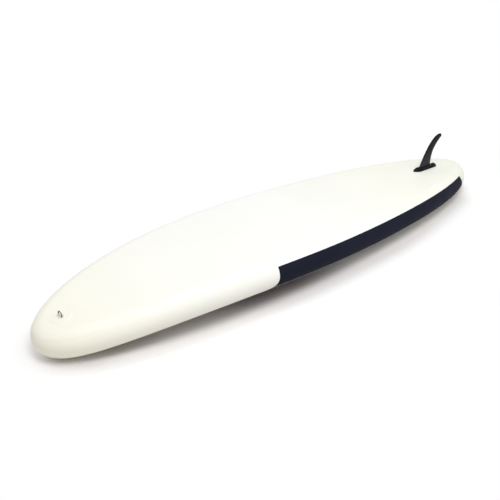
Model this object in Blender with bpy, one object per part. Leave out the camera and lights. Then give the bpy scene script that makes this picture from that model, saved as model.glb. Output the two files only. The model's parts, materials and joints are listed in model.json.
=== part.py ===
"""Inflatable stand-up paddle board, lying on its deck with the hull and the fin up.

The board is drawn in a flat design space: x runs from nose to tail, y across it,
and h is the height above the middle surface, towards the hull. bend() lifts that
space onto the rocker line. Hardware is drawn in local frames that stand on the
skin, with local x towards the tail and local z away from the board. The last step
sets the board down on the floor plane z = 0. All lengths are in metres.
"""

import math

import bmesh
import bpy
from mathutils import Matrix, Vector

# Board outline, seen from above
BOARD_LENGTH = 3.05
BOARD_WIDTH = 0.81
BOARD_THICKNESS = 0.15
WIDEST_FROM_NOSE = 1.436
NOSE_ROUNDNESS = 1.96
NOSE_FULLNESS = 0.50
TAIL_ROUNDNESS = 1.77
TAIL_FULLNESS = 0.553

# Rocker: how far the ends bend towards the deck
ROCKER_LOW_POINT = 1.75
NOSE_ROCKER = 0.144
NOSE_ROCKER_POWER = 3.59
TAIL_ROCKER = 0.0165
TAIL_ROCKER_POWER = 2.28

# Skins and the drop-stitch core
SKIN_THICKNESS = 0.0015
SEAM_GAP = 0.0005
FACE_GAP = 0.0003
BENT_FACE_GAP = 0.0005
STITCH_SHEET_THICKNESS = 0.001
THREAD_BUNDLE_WIDTH = 0.009
THREAD_BUNDLE_PITCH = 0.13
THREAD_BUNDLE_ROWS = 3

# Seams: angles round the rail from the hull side, and breaks along the board
HULL_SEAM_ANGLE = math.radians(46.6)
DECK_SEAM_ANGLE = math.radians(140.0)
NOSE_BREAK = 1.114
NOSE_BREAK_SLANT = -0.08
NOSE_BREAK_CORNER = 0.060
TAIL_BREAK_FROM_TAIL = 0.235
TAIL_BREAK_SLANT = 0.36
TAIL_BREAK_CORNER = 0.034

# Deck pad and kick pad
PAD_THICKNESS = 0.005
PAD_START = 0.90
PAD_EDGE_MARGIN = 0.020
PAD_CORNER = 0.090
KICK_FROM_TAIL = 0.47
KICK_HEIGHT = 0.027
KICK_RAMP = 0.070
KICK_CREST = 0.045
KICK_FALL = 0.045
KICK_RAMP_POWER = 1.6
KICK_FALL_POWER = 0.8
PAD_STATION_CLEARANCE = 0.02

# Carry handle, across the middle of the deck pad
HANDLE_STATION = 1.50
HANDLE_SPAN = 0.190
HANDLE_HEIGHT = 0.036
HANDLE_FOOT = 0.042
STRAP_PAST_GRIP = 0.004
STRAP_SLOPE_STEP = 0.0005
STRAP_SLOPE_STEPS = 5
WEBBING_WIDTH = 0.025
WEBBING_THICKNESS = 0.002
GRIP_LENGTH = 0.110
GRIP_WIDTH = 0.038
GRIP_DEPTH = 0.020
GRIP_SLOT_CLEARANCE = 0.0005
HANDLE_PATCH_LENGTH = 0.062
HANDLE_PATCH_WIDTH = 0.070
HANDLE_PATCH_SHAPE = ((-1.0, 0.55), (-0.86, 0.86), (-0.55, 1.0), (0.55, 1.0), (0.86, 0.86), (1.0, 0.55))
PAD_OPENING_MARGIN = 0.014

# Rings on patches
PATCH_THICKNESS = 0.0012
LOOP_THICKNESS = 0.0015
LOOP_FOOT = 0.0075
RING_CLEARANCE = 0.0006
RING_CORNER_SHARE = 0.35
RING_DEPTH_SHARE = 0.55
RING_BOW_STEPS = 9
TOW_RING_STATION = 0.152
TOW_RING_WIRE = 0.0025
TOW_RING_INSIDE = 0.025
TOW_LOOP_WIDTH = 0.022
TOW_PATCH_RADIUS = 0.050
TOW_RING_LEAN = math.radians(87.0)
CARGO_RING_STATIONS = (0.47, 0.80)
CARGO_RING_SPREADS = (0.150, 0.195)
CARGO_RING_WIRE = 0.002
CARGO_RING_INSIDE = 0.020
CARGO_LOOP_WIDTH = 0.016
CARGO_PATCH_RADIUS = 0.032
LEASH_RING_FROM_TAIL = 0.145
LEASH_RING_WIRE = 0.002
LEASH_RING_INSIDE = 0.025
LEASH_LOOP_WIDTH = 0.020
LEASH_PATCH_RADIUS = 0.034

# Inflation valve on the tail deck
VALVE_FROM_TAIL = 0.25
VALVE_FLANGE_RADIUS = 0.031
VALVE_FLANGE_THICKNESS = 0.003
VALVE_BARREL_RADIUS = 0.0215
VALVE_BORE_RADIUS = 0.0175
VALVE_BARREL_DEPTH = 0.030
VALVE_SEAT_RADIUS = 0.0115
VALVE_SEAT_THICKNESS = 0.003
VALVE_HUB_DEPTH = 0.011
VALVE_HUB_RADIUS = 0.005
VALVE_HUB_HEIGHT = 0.003
VALVE_ARM_WIDTH = 0.003
VALVE_STEM_RADIUS = 0.0028
VALVE_BUTTON_RADIUS = 0.0062
VALVE_BUTTON_DEPTH = 0.0025
VALVE_DISC_RADIUS = 0.0145
VALVE_DISC_THICKNESS = 0.0025
VALVE_BUTTON_HEIGHT = 0.002
VALVE_BUTTON_EDGE = 0.0006
VALVE_EDGE = 0.001
GASKET_THICKNESS = 0.001
CLAMP_NUT_RADIUS = 0.029
CLAMP_NUT_THICKNESS = 0.006
SPRING_WIRE = 0.0006
SPRING_RADIUS = 0.0044
SPRING_TURNS = 3.5
SPRING_STEPS_PER_TURN = 10
CAP_RADIUS = 0.0235
CAP_THICKNESS = 0.0028
CAP_PLUG_LENGTH = 0.0045
CAP_GRIP_HEIGHT = 0.004
CAP_GRIP_WIDTH = 0.005
CAP_GRIP_SPAN_SHARE = 0.82
CAP_GRIP_SUNK = 0.0005
CAP_WALL = 0.002
CAP_DISH = 0.001
RUNNING_GAP = 0.0004

# Fin box and fin
FIN_BOX_FROM_TAIL = 0.335
FIN_BOX_LENGTH = 0.206
FIN_BOX_WIDTH = 0.051
FIN_BOX_HEIGHT = 0.015
FIN_BOX_NOSE = 0.026
FIN_BOX_RAMP = 0.036
FIN_BOX_REAR = 0.026
FIN_BOX_REAR_WIDTH_SHARE = 0.77
FIN_BOX_FLANGE = 0.006
FIN_BOX_FLANGE_THICKNESS = 0.003
FIN_BOX_SIDE_LEAN = 0.003
FIN_BOX_TIP_WIDTH = 0.006
FIN_BOX_TIP_HEIGHT_SHARE = 0.16
FIN_BOX_NOSE_POWER = 0.9
FIN_BOX_REAR_NARROWING = 0.50
FIN_BOX_REAR_LOWERING = 0.22
FIN_BOX_FRONT_SHARES = (0.0, 0.1, 0.22, 0.36, 0.53, 0.72, 1.0)
FIN_BOX_REAR_SHARES = (0.0, 0.35, 0.6, 0.8, 1.0)
FLANGE_WIDTH_LIMIT = 0.24
FLANGE_HEIGHT_LIMIT = 0.4
FLANGE_RISE = 1.3
TOP_WIDTH_LIMIT = 0.6
TOP_CHAMFER_SHARE = 0.12
FIN_SLOT_START = 0.029
FIN_SLOT_WIDTH = 0.0096
FIN_CHANNEL_WIDTH = 0.015
FIN_CHANNEL_FLOOR = 0.0025
FIN_CHANNEL_HEIGHT = 0.006
FIN_FIT = 0.0003
FIN_FOOT_END = 0.006
FIN_ROOT_FROM_BOX_TIP = 0.047
FIN_ROOT_CHORD = 0.1065
FIN_HEIGHT = 0.190
FIN_RAKE = 0.167
FIN_TIP_CHORD = 0.0255
FIN_TIP_DROP = 0.0128
FIN_ROOT_THICKNESS = 0.0082
FIN_TIP_THICKNESS = 0.0034
FIN_EDGE_THICKNESS = 0.0012
FIN_LEADING_PULLS = ((0.131, 0.276), (0.527, 0.997))
FIN_TRAILING_PULLS = ((0.03, 0.41), (0.125, 0.58))
FIN_SECTION_SHARES = (0.0, 0.12, 0.25, 0.38, 0.5, 0.62, 0.74, 0.86, 0.94, 1.0)
FOIL_THICKNESS_SHARES = ((0.0, 0.0), (0.04, 0.52), (0.16, 0.87), (0.38, 1.0), (0.66, 0.65), (1.0, 0.0))
FIN_SUNK = 0.002
FIN_CROWN_AFT = 0.003
FIN_CROWN_RISE = 0.006
FIN_HEEL_LENGTH = 0.032
FIN_HEEL_HEIGHT = 0.0035
FIN_HEEL_WIDTH = 0.016
FIN_HEEL_ROUNDNESS = 0.6
FIN_HEEL_STEPS = 8
LOCK_SCREW_FROM_BOX_TIP = 0.037
LOCK_SCREW_RADIUS = 0.003
LOCK_KNOB_RADIUS = 0.0068
LOCK_KNOB_HEIGHT = 0.0045
LOCK_KNOB_RIBS = 10
LOCK_KNOB_RIB_DEPTH = 0.0006
LOCK_KNOB_BEVEL = 0.0011

# Mesh resolution
NOSE_STATIONS = 20
TAIL_STATIONS = 16
STATION_GATHER = 1.35
BREAK_CLEARANCE = 0.018
SHOULDER_STEPS = 4
RAIL_STEPS = 7
ROUND_STEPS = 28
SMALL_ROUND_STEPS = 18
DISC_STEPS = 12
GRIP_STEPS = 20
WELD_DISTANCE = 0.00002
SMOOTH_ANGLE = math.radians(35.0)
TIP_ROUNDING = 1e-6

RAIL_RADIUS = BOARD_THICKNESS / 2.0
TIP_STATION = RAIL_RADIUS
END_STATION = BOARD_LENGTH - RAIL_RADIUS
TAIL_BREAK = BOARD_LENGTH - TAIL_BREAK_FROM_TAIL
HULL = 1
DECK = -1
STARBOARD = -1
PORT = 1

rest_frame = None


# Scene and material helpers

def clear_scene():
    for item in list(bpy.data.objects):
        bpy.data.objects.remove(item, do_unlink=True)


def make_material(name, colour, roughness, metallic=0.0):
    material = bpy.data.materials.new(name)
    material.use_nodes = True
    shader = material.node_tree.nodes["Principled BSDF"]
    shader.inputs["Base Color"].default_value = (*colour, 1.0)
    shader.inputs["Roughness"].default_value = roughness
    shader.inputs["Metallic"].default_value = metallic
    return material


def add_object(name, data, material, frame=None):
    item = bpy.data.objects.new(name, data)
    bpy.context.scene.collection.objects.link(item)
    item.parent = rest_frame
    if frame is not None:
        item.matrix_local = frame
    if material is not None:
        data.materials.append(material)
    return item


def mesh_from(bm, name, smooth=True):
    bmesh.ops.recalc_face_normals(bm, faces=bm.faces)
    mesh = bpy.data.meshes.new(name)
    bm.to_mesh(mesh)
    bm.free()
    if smooth:
        mesh.shade_smooth()
        mesh.set_sharp_from_angle(angle=SMOOTH_ANGLE)
    return mesh


def add_cutter(name, mesh, frame):
    cutter = add_object(name, mesh, None, frame)
    cutter.hide_render = True
    cutter.display_type = "WIRE"
    return cutter


def boolean(item, cutter, operation):
    modifier = item.modifiers.new(cutter.name, "BOOLEAN")
    modifier.operation = operation
    modifier.solver = "EXACT"
    modifier.object = cutter


# Board shape

def centre_height(x):
    ahead = max(0.0, ROCKER_LOW_POINT - x) / ROCKER_LOW_POINT
    behind = max(0.0, x - ROCKER_LOW_POINT) / (BOARD_LENGTH - ROCKER_LOW_POINT)
    return -NOSE_ROCKER * ahead ** NOSE_ROCKER_POWER - TAIL_ROCKER * behind ** TAIL_ROCKER_POWER


def surface_angle(x):
    """Angle of the rocker line at x; it is positive where the nose rises aft."""
    tail_run = BOARD_LENGTH - ROCKER_LOW_POINT
    ahead = max(0.0, ROCKER_LOW_POINT - x) / ROCKER_LOW_POINT
    behind = max(0.0, x - ROCKER_LOW_POINT) / tail_run
    nose_slope = NOSE_ROCKER * NOSE_ROCKER_POWER / ROCKER_LOW_POINT * ahead ** (NOSE_ROCKER_POWER - 1)
    tail_slope = TAIL_ROCKER * TAIL_ROCKER_POWER / tail_run * behind ** (TAIL_ROCKER_POWER - 1)
    return math.atan(nose_slope - tail_slope)


def bend(x, y, h):
    angle = surface_angle(x)
    return Vector((x - h * math.sin(angle), y, centre_height(x) + h * math.cos(angle)))


def skin_frame(x, y, side, lift=0.0):
    """Local frame on the outer skin: x towards the tail, z away from the board."""
    angle = surface_angle(x)
    along = Vector((math.cos(angle), 0.0, math.sin(angle)))
    away = Vector((-math.sin(angle), 0.0, math.cos(angle))) * side
    across = away.cross(along)
    frame = Matrix((along, across, away)).transposed().to_4x4()
    frame.translation = bend(x, y, side * (RAIL_RADIUS + lift))
    return frame


def spine_station(x):
    """Half-width of the rail's centre line at x, and its outward direction in plan."""
    crown = BOARD_WIDTH / 2.0 - RAIL_RADIUS
    if x <= WIDEST_FROM_NOSE:
        run = WIDEST_FROM_NOSE - TIP_STATION
        share = (WIDEST_FROM_NOSE - x) / run
        power, fullness, towards = NOSE_ROUNDNESS, NOSE_FULLNESS, 1.0
    else:
        run = END_STATION - WIDEST_FROM_NOSE
        share = (x - WIDEST_FROM_NOSE) / run
        power, fullness, towards = TAIL_ROUNDNESS, TAIL_FULLNESS, -1.0
    rest = 1.0 - share ** power
    if rest < TIP_ROUNDING:
        return 0.0, -towards, 0.0
    width = crown * rest ** fullness
    slope = towards * crown * fullness * rest ** (fullness - 1.0) * power * share ** (power - 1.0) / run
    size = math.hypot(slope, 1.0)
    return width, -slope / size, 1.0 / size


def rail_point(x, side, angle, radius):
    """A point on the round rail; angle 0 is its hull side, and pi is its deck side."""
    width, out_x, out_y = spine_station(x)
    reach = radius * math.sin(angle)
    return bend(x + out_x * reach, side * (width + out_y * reach), radius * math.cos(angle))


def station_list():
    """Stations from nose to tail, gathered towards the tips, two of them on the rail breaks."""
    nose_run = WIDEST_FROM_NOSE - TIP_STATION
    tail_run = END_STATION - WIDEST_FROM_NOSE
    quarter = math.pi / 2.0
    stations = []
    for step in range(NOSE_STATIONS + 1):
        turn = quarter * (step / NOSE_STATIONS) ** STATION_GATHER
        stations.append(WIDEST_FROM_NOSE - nose_run * math.cos(turn))
    for step in range(TAIL_STATIONS - 1, -1, -1):
        turn = quarter * (step / TAIL_STATIONS) ** STATION_GATHER
        stations.append(WIDEST_FROM_NOSE + tail_run * math.cos(turn))
    breaks = (NOSE_BREAK, TAIL_BREAK)
    clear = [x for x in stations if min(abs(x - place) for place in breaks) > BREAK_CLEARANCE]
    return sorted(clear + list(breaks))


STATIONS = station_list()


def spread(first, last, steps):
    return [first + (last - first) * k / steps for k in range(steps + 1)]


# Rail breaks: where the white wraps end and the navy panels start

def break_shift(angle, slant, corner):
    """How far a break moves along the board at this angle round the rail."""
    in_band = min(angle, DECK_SEAM_ANGLE)
    below_hull = max(0.0, in_band - HULL_SEAM_ANGLE) * RAIL_RADIUS
    above_deck = (DECK_SEAM_ANGLE - in_band) * RAIL_RADIUS
    inside = max(0.0, corner - above_deck)
    shift = slant * below_hull - corner + math.sqrt(corner * corner - inside * inside)
    past_deck = max(0.0, angle - DECK_SEAM_ANGLE) / (math.pi - DECK_SEAM_ANGLE)
    return shift * (1.0 - past_deck)


def nose_break(angle):
    return NOSE_BREAK + break_shift(angle, NOSE_BREAK_SLANT, NOSE_BREAK_CORNER)


def tail_break(angle):
    return TAIL_BREAK + break_shift(angle, TAIL_BREAK_SLANT, TAIL_BREAK_CORNER)


def moved_station(x, angle):
    """The station x, moved with the breaks, so that neighbours share their corners."""
    nose = nose_break(angle)
    tail = tail_break(angle)
    if x <= NOSE_BREAK:
        return TIP_STATION + (x - TIP_STATION) * (nose - TIP_STATION) / (NOSE_BREAK - TIP_STATION)
    if x >= TAIL_BREAK:
        return END_STATION - (END_STATION - x) * (END_STATION - tail) / (END_STATION - TAIL_BREAK)
    return nose + (x - NOSE_BREAK) * (tail - nose) / (TAIL_BREAK - NOSE_BREAK)


# Skins

def skin_surface(bm, angles, radius):
    """Shoulder rings from the flat's edge to the seam, and the flat between the shoulders."""
    last = len(STATIONS) - 1
    columns = [(x, STARBOARD) for x in STATIONS]
    columns += [(x, PORT) for x in reversed(STATIONS[1:-1])]
    rings = []
    for angle in angles:
        rings.append([bm.verts.new(rail_point(moved_station(x, angle), side, angle, radius))
                      for x, side in columns])
    count = len(columns)
    for upper, lower in zip(rings, rings[1:]):
        for k in range(count):
            n = (k + 1) % count
            bm.faces.new((upper[k], upper[n], lower[n], lower[k]))
    flat = rings[0]
    for k in range(last):
        corners = [flat[k], flat[k + 1], flat[(count - k - 1) % count], flat[(count - k) % count]]
        unique = list(dict.fromkeys(corners))
        bm.faces.new(unique)
    return rings[-1]


def make_skin(name, angles, material):
    bm = bmesh.new()
    outer_edge = skin_surface(bm, angles, RAIL_RADIUS)
    inner_edge = skin_surface(bm, angles, RAIL_RADIUS - SKIN_THICKNESS)
    count = len(outer_edge)
    for k in range(count):
        n = (k + 1) % count
        bm.faces.new((outer_edge[k], outer_edge[n], inner_edge[n], inner_edge[k]))
    return add_object(name, mesh_from(bm, name), material)


def seam_half_angle():
    return SEAM_GAP / 2.0 / RAIL_RADIUS


# Rail bands

def nose_columns(angle):
    """Stations from the starboard break round the nose to the port break."""
    moved = [moved_station(x, angle) for x in STATIONS if x <= NOSE_BREAK]
    moved[-1] -= SEAM_GAP / 2.0
    return [(x, STARBOARD) for x in reversed(moved)] + [(x, PORT) for x in moved[1:]]


def tail_columns(angle):
    moved = [moved_station(x, angle) for x in STATIONS if x >= TAIL_BREAK]
    moved[0] += SEAM_GAP / 2.0
    return [(x, STARBOARD) for x in moved] + [(x, PORT) for x in reversed(moved[:-1])]


def side_columns(side):
    def columns(angle):
        moved = [moved_station(x, angle) for x in STATIONS if NOSE_BREAK <= x <= TAIL_BREAK]
        moved[0] += SEAM_GAP / 2.0
        moved[-1] -= SEAM_GAP / 2.0
        return [(x, side) for x in moved]
    return columns


def make_rail(name, columns_at, material):
    """A band round the rail between the two seams, with the skin's thickness."""
    angles = spread(HULL_SEAM_ANGLE + seam_half_angle(), DECK_SEAM_ANGLE - seam_half_angle(), RAIL_STEPS)
    bm = bmesh.new()
    grids = []
    for radius in (RAIL_RADIUS, RAIL_RADIUS - SKIN_THICKNESS):
        grid = [[bm.verts.new(rail_point(x, side, angle, radius)) for x, side in columns_at(angle)]
                for angle in angles]
        grids.append(grid)
        for upper, lower in zip(grid, grid[1:]):
            for k in range(len(upper) - 1):
                bm.faces.new((upper[k], upper[k + 1], lower[k + 1], lower[k]))
    outer, inner = grids
    for row in (0, -1):
        for k in range(len(outer[0]) - 1):
            bm.faces.new((outer[row][k], outer[row][k + 1], inner[row][k + 1], inner[row][k]))
    for column in (0, -1):
        for k in range(len(outer) - 1):
            bm.faces.new((outer[k][column], outer[k + 1][column], inner[k + 1][column], inner[k][column]))
    return add_object(name, mesh_from(bm, name), material)


# Drop-stitch core

def core_cells():
    """Places for the thread bundles: one pitch apart, and clear of the valve."""
    stations = STATIONS[2:-2]
    keep_clear = CLAMP_NUT_RADIUS + THREAD_BUNDLE_WIDTH
    valve = BOARD_LENGTH - VALVE_FROM_TAIL
    cells = []
    placed = stations[0] - THREAD_BUNDLE_PITCH
    for k in range(len(stations) - 1):
        middle = (stations[k] + stations[k + 1]) / 2.0
        cell_width = 2.0 * spine_station(middle)[0] / THREAD_BUNDLE_ROWS
        roomy = stations[k + 1] - stations[k] > 2.0 * THREAD_BUNDLE_WIDTH
        if middle - placed < THREAD_BUNDLE_PITCH or not roomy or cell_width < 3.0 * THREAD_BUNDLE_WIDTH:
            continue
        placed = middle
        for row in range(THREAD_BUNDLE_ROWS):
            y = cell_width * (row - (THREAD_BUNDLE_ROWS - 1) / 2.0)
            if math.hypot(middle - valve, y) > keep_clear:
                cells.append((k, row))
    return cells


def bundle_corners(bm, face, along_hint):
    """Inset the face to a small square at its middle and return the square's corners by sign."""
    bmesh.ops.inset_individual(bm, faces=[face], thickness=THREAD_BUNDLE_WIDTH / 4.0)
    centre = face.calc_center_median()
    across = Vector((0.0, 1.0, 0.0))
    along = along_hint - across * along_hint.dot(across)
    along.normalize()
    half = THREAD_BUNDLE_WIDTH / 2.0
    corners = {}
    for vert in face.verts:
        offset = vert.co - centre
        key = (1 if offset.dot(along) > 0.0 else -1, 1 if offset.y > 0.0 else -1)
        corners[key] = vert
    for (sign_x, sign_y), vert in corners.items():
        vert.co = centre + along * half * sign_x + across * half * sign_y
    return corners


def make_drop_stitch_core(material):
    outer = RAIL_RADIUS - SKIN_THICKNESS - FACE_GAP
    inner = outer - STITCH_SHEET_THICKNESS
    stations = STATIONS[2:-2]
    columns = range(THREAD_BUNDLE_ROWS + 1)
    bm = bmesh.new()
    levels = []
    for h in (outer, inner, -inner, -outer):
        level = []
        for x in stations:
            width = spine_station(x)[0]
            level.append([bm.verts.new(bend(x, width * (2.0 * c / THREAD_BUNDLE_ROWS - 1.0), h))
                          for c in columns])
        levels.append(level)
    faces = []
    for level in levels:
        grid = {}
        for k in range(len(stations) - 1):
            for c in range(THREAD_BUNDLE_ROWS):
                near, far = level[k], level[k + 1]
                grid[k, c] = bm.faces.new((near[c], near[c + 1], far[c + 1], far[c]))
        faces.append(grid)
    for top, bottom in ((levels[0], levels[1]), (levels[2], levels[3])):
        rim_top = [row[0] for row in top] + top[-1][1:] + [row[-1] for row in reversed(top[:-1])]
        rim_top += list(reversed(top[0][1:-1]))
        rim_bottom = [row[0] for row in bottom] + bottom[-1][1:] + [row[-1] for row in reversed(bottom[:-1])]
        rim_bottom += list(reversed(bottom[0][1:-1]))
        for k in range(len(rim_top)):
            n = (k + 1) % len(rim_top)
            bm.faces.new((rim_top[k], rim_top[n], rim_bottom[n], rim_bottom[k]))
    order = ((1, 1), (1, -1), (-1, -1), (-1, 1))
    for cell in core_cells():
        k = cell[0]
        hint = levels[1][k + 1][0].co - levels[1][k][0].co
        upper_face, lower_face = faces[1][cell], faces[2][cell]
        upper = bundle_corners(bm, upper_face, hint)
        lower = bundle_corners(bm, lower_face, hint)
        bmesh.ops.delete(bm, geom=[upper_face, lower_face], context="FACES_ONLY")
        for key, following in zip(order, order[1:] + order[:1]):
            bm.faces.new((upper[key], upper[following], lower[following], lower[key]))
    return add_object("drop_stitch_core", mesh_from(bm, "drop_stitch_core"), material)


# Sheets that lie on a skin

def strip_plate(name, outline, side, low, high, material):
    """A plate on the skin from cross strips (x, y from, y to), between two heights above it."""
    bm = bmesh.new()
    rows = []
    for x, y_from, y_to in outline:
        row = []
        for y, height in ((y_from, low(x)), (y_to, low(x)), (y_to, high(x)), (y_from, high(x))):
            row.append(bm.verts.new(bend(x, y, side * (RAIL_RADIUS + height))))
        rows.append(row)
    for row, following in zip(rows, rows[1:]):
        for k in range(4):
            n = (k + 1) % 4
            bm.faces.new((row[k], row[n], following[n], following[k]))
    bm.faces.new(rows[0])
    bm.faces.new(rows[-1])
    return add_object(name, mesh_from(bm, name), material)


def disc_outline(x, y, radius):
    pairs = []
    for k in range(DISC_STEPS):
        turn = math.pi * (k + 0.5) / DISC_STEPS
        reach = radius * math.sin(turn)
        pairs.append((x - radius * math.cos(turn), y - reach, y + reach))
    return pairs


def patch(name, outline, side, material):
    low = BENT_FACE_GAP
    return strip_plate(name, outline, side, lambda x: low, lambda x: low + PATCH_THICKNESS, material)


def patch_top():
    return BENT_FACE_GAP + PATCH_THICKNESS


# Prisms, turned pieces and wires

def prism_mesh(name, outline, start, end, axis, smooth=True):
    """Extrude a closed outline of (u, v) points along local x, y or z."""
    bm = bmesh.new()
    place = {
        "x": lambda u, v, w: Vector((w, u, v)),
        "y": lambda u, v, w: Vector((u, w, v)),
        "z": lambda u, v, w: Vector((u, v, w)),
    }[axis]
    base = bm.faces.new([bm.verts.new(place(u, v, start)) for u, v in outline])
    result = bmesh.ops.extrude_face_region(bm, geom=[base])
    moved = [item for item in result["geom"] if isinstance(item, bmesh.types.BMVert)]
    bmesh.ops.translate(bm, verts=moved, vec=place(0.0, 0.0, end - start))
    return mesh_from(bm, name, smooth)


def turned_mesh(name, profile, steps=ROUND_STEPS):
    """Spin a closed profile of (radius, z) points round local z."""
    bm = bmesh.new()
    verts = [bm.verts.new((radius, 0.0, z)) for radius, z in profile]
    edges = [bm.edges.new((verts[k], verts[(k + 1) % len(verts)])) for k in range(len(verts))]
    bmesh.ops.spin(bm, geom=verts + edges, cent=(0, 0, 0), axis=(0, 0, 1),
                   angle=2.0 * math.pi, steps=steps, use_merge=True)
    bmesh.ops.remove_doubles(bm, verts=bm.verts, dist=WELD_DISTANCE)
    return mesh_from(bm, name)


def ring_profile(inner, outer, low, high):
    return [(inner, low), (outer, low), (outer, high), (inner, high)]


def bevelled_ring_profile(inner, outer, low, high, bevel):
    return [(inner, low), (outer - bevel, low), (outer, low + bevel),
            (outer, high - bevel), (outer - bevel, high), (inner, high)]


def wire_curve(name, points, radius, cyclic, resolution):
    curve = bpy.data.curves.new(name, "CURVE")
    curve.dimensions = "3D"
    curve.bevel_depth = radius
    curve.bevel_resolution = resolution
    curve.use_fill_caps = True
    spline = curve.splines.new("POLY")
    spline.points.add(len(points) - 1)
    for point, place in zip(spline.points, points):
        point.co = (*place, 1.0)
    spline.use_cyclic_u = cyclic
    return curve


def ring_points(inside, wire):
    """Centre line of a D ring: straight bar on local y, bow towards local x."""
    half = inside / 2.0 + wire
    corner = half * RING_CORNER_SHARE
    depth = half * RING_DEPTH_SHARE
    points = []
    for turn in (0.0, 45.0, 90.0):
        angle = math.radians(turn)
        points.append((corner * (1.0 - math.cos(angle)), half - corner * (1.0 - math.sin(angle)), 0.0))
    for step in range(1, RING_BOW_STEPS):
        angle = math.pi * step / RING_BOW_STEPS
        points.append((depth + half * math.sin(angle), half * math.cos(angle), 0.0))
    for turn in (90.0, 45.0, 0.0):
        angle = math.radians(turn)
        points.append((corner * (1.0 - math.cos(angle)), -half + corner * (1.0 - math.sin(angle)), 0.0))
    return points


def loop_outline(wire):
    """Webbing folded over the ring's bar: two feet and an arch, seen along the bar."""
    inner = wire + RING_CLEARANCE
    outer = inner + LOOP_THICKNESS
    centre = inner
    arch = [math.radians(a) for a in (0.0, 30.0, 60.0, 90.0, 120.0, 150.0, 180.0)]
    reach = outer + LOOP_FOOT
    points = [(reach, 0.0), (reach, LOOP_THICKNESS), (outer, LOOP_THICKNESS)]
    points += [(outer * math.cos(a), centre + outer * math.sin(a)) for a in arch]
    points += [(-outer, LOOP_THICKNESS), (-reach, LOOP_THICKNESS), (-reach, 0.0), (-inner, 0.0)]
    points += [(inner * math.cos(a), centre + inner * math.sin(a)) for a in reversed(arch)]
    points += [(inner, 0.0)]
    return points


def make_ring_set(names, x, y, side, wire, inside, loop_width, patch_radius, lean, materials):
    """Patch, webbing loop and D ring; lean is the ring's angle up from the skin, aft of its bar."""
    patch_name, loop_name, ring_name = names
    patch(patch_name, disc_outline(x, y, patch_radius), side, materials["patch"])
    lift = patch_top() + BENT_FACE_GAP
    frame = skin_frame(x, y, side, lift)
    half = loop_width / 2.0
    loop = prism_mesh(loop_name, loop_outline(wire), -half, half, "y")
    add_object(loop_name, loop, materials["webbing"], frame)
    bar = frame @ Matrix.Translation((0.0, 0.0, wire + RING_CLEARANCE)) @ Matrix.Rotation(-lean, 4, "Y")
    ring = wire_curve(ring_name, ring_points(inside, wire), wire, True, 2)
    add_object(ring_name, ring, materials["steel"], bar)


# Resting line: through the kick pad's crest, and touching the nose from below

def resting_line():
    """Angle of the floor under the board, and the crest's first point, both in design space."""
    crest = bend(BOARD_LENGTH - KICK_FROM_TAIL + KICK_RAMP, 0.0, -RAIL_RADIUS - KICK_HEIGHT)
    nose = bend(TIP_STATION, 0.0, 0.0)
    gap = nose - crest
    angle = math.asin(RAIL_RADIUS / math.hypot(gap.x, gap.z)) - math.atan2(gap.z, -gap.x)
    return angle, crest


def height_to_floor(x):
    """Distance from the deck skin at x to the resting line, square to the skin."""
    angle, crest = resting_line()
    floor_normal = Vector((-math.sin(angle), 0.0, math.cos(angle)))
    deck = bend(x, 0.0, -RAIL_RADIUS)
    skin = surface_angle(x)
    skin_normal = Vector((-math.sin(skin), 0.0, math.cos(skin)))
    return (deck - crest).dot(floor_normal) / skin_normal.dot(floor_normal)


def lean_to_floor(x, inside, wire):
    """Lean at which a deck ring, lying aft of its bar, droops until it meets the floor."""
    angle, crest = resting_line()
    floor_normal = Vector((-math.sin(angle), 0.0, math.cos(angle)))
    frame = skin_frame(x, 0.0, DECK, patch_top() + BENT_FACE_GAP)
    bar = frame @ Vector((0.0, 0.0, wire + RING_CLEARANCE))
    reach = (inside / 2.0 + wire) * (1.0 + RING_DEPTH_SHARE)
    along = floor_normal.dot(frame.col[0].xyz)
    away = -floor_normal.dot(frame.col[2].xyz)
    drop = (bar - crest).dot(floor_normal) - wire - BENT_FACE_GAP
    return math.atan2(along, away) + math.asin(drop / reach / math.hypot(along, away))


# Deck pad, kick pad and handle

def pad_half_width(x):
    full = spine_station(x)[0] - PAD_EDGE_MARGIN
    depth = PAD_CORNER - (x - PAD_START)
    if depth <= 0.0:
        return full
    return full - PAD_CORNER + math.sqrt(max(0.0, PAD_CORNER ** 2 - depth ** 2))


def handle_foot_centre():
    """Distance from the handle's middle to the middle of a foot and its patch."""
    return HANDLE_SPAN / 2.0 + HANDLE_FOOT / 2.0


def make_deck_pad(material):
    end = BOARD_LENGTH - KICK_FROM_TAIL - FACE_GAP
    corner = [PAD_START + PAD_CORNER * (1.0 - math.cos(math.radians(a))) for a in (0, 20, 40, 60, 80)]
    inner = [x for x in STATIONS if corner[-1] + PAD_STATION_CLEARANCE < x < end - PAD_STATION_CLEARANCE]
    outline = [(x, -pad_half_width(x), pad_half_width(x)) for x in corner + inner + [end]]
    pad = strip_plate("deck_pad", outline, DECK, lambda x: BENT_FACE_GAP, lambda x: PAD_THICKNESS, material)
    half_length = handle_foot_centre() + HANDLE_PATCH_LENGTH / 2.0 + PAD_OPENING_MARGIN
    half_width = HANDLE_PATCH_WIDTH / 2.0 + PAD_OPENING_MARGIN
    straight = half_length - half_width
    opening = []
    for turn in range(-90, 91, 15):
        angle = math.radians(turn)
        opening.append((straight + half_width * math.cos(angle), half_width * math.sin(angle)))
    opening += [(-u, -v) for u, v in opening]
    mesh = prism_mesh("handle_opening", opening, -PAD_THICKNESS, 3.0 * PAD_THICKNESS, "z")
    cutter = add_cutter("handle_opening", mesh, skin_frame(HANDLE_STATION, 0.0, DECK))
    boolean(pad, cutter, "DIFFERENCE")


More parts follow.
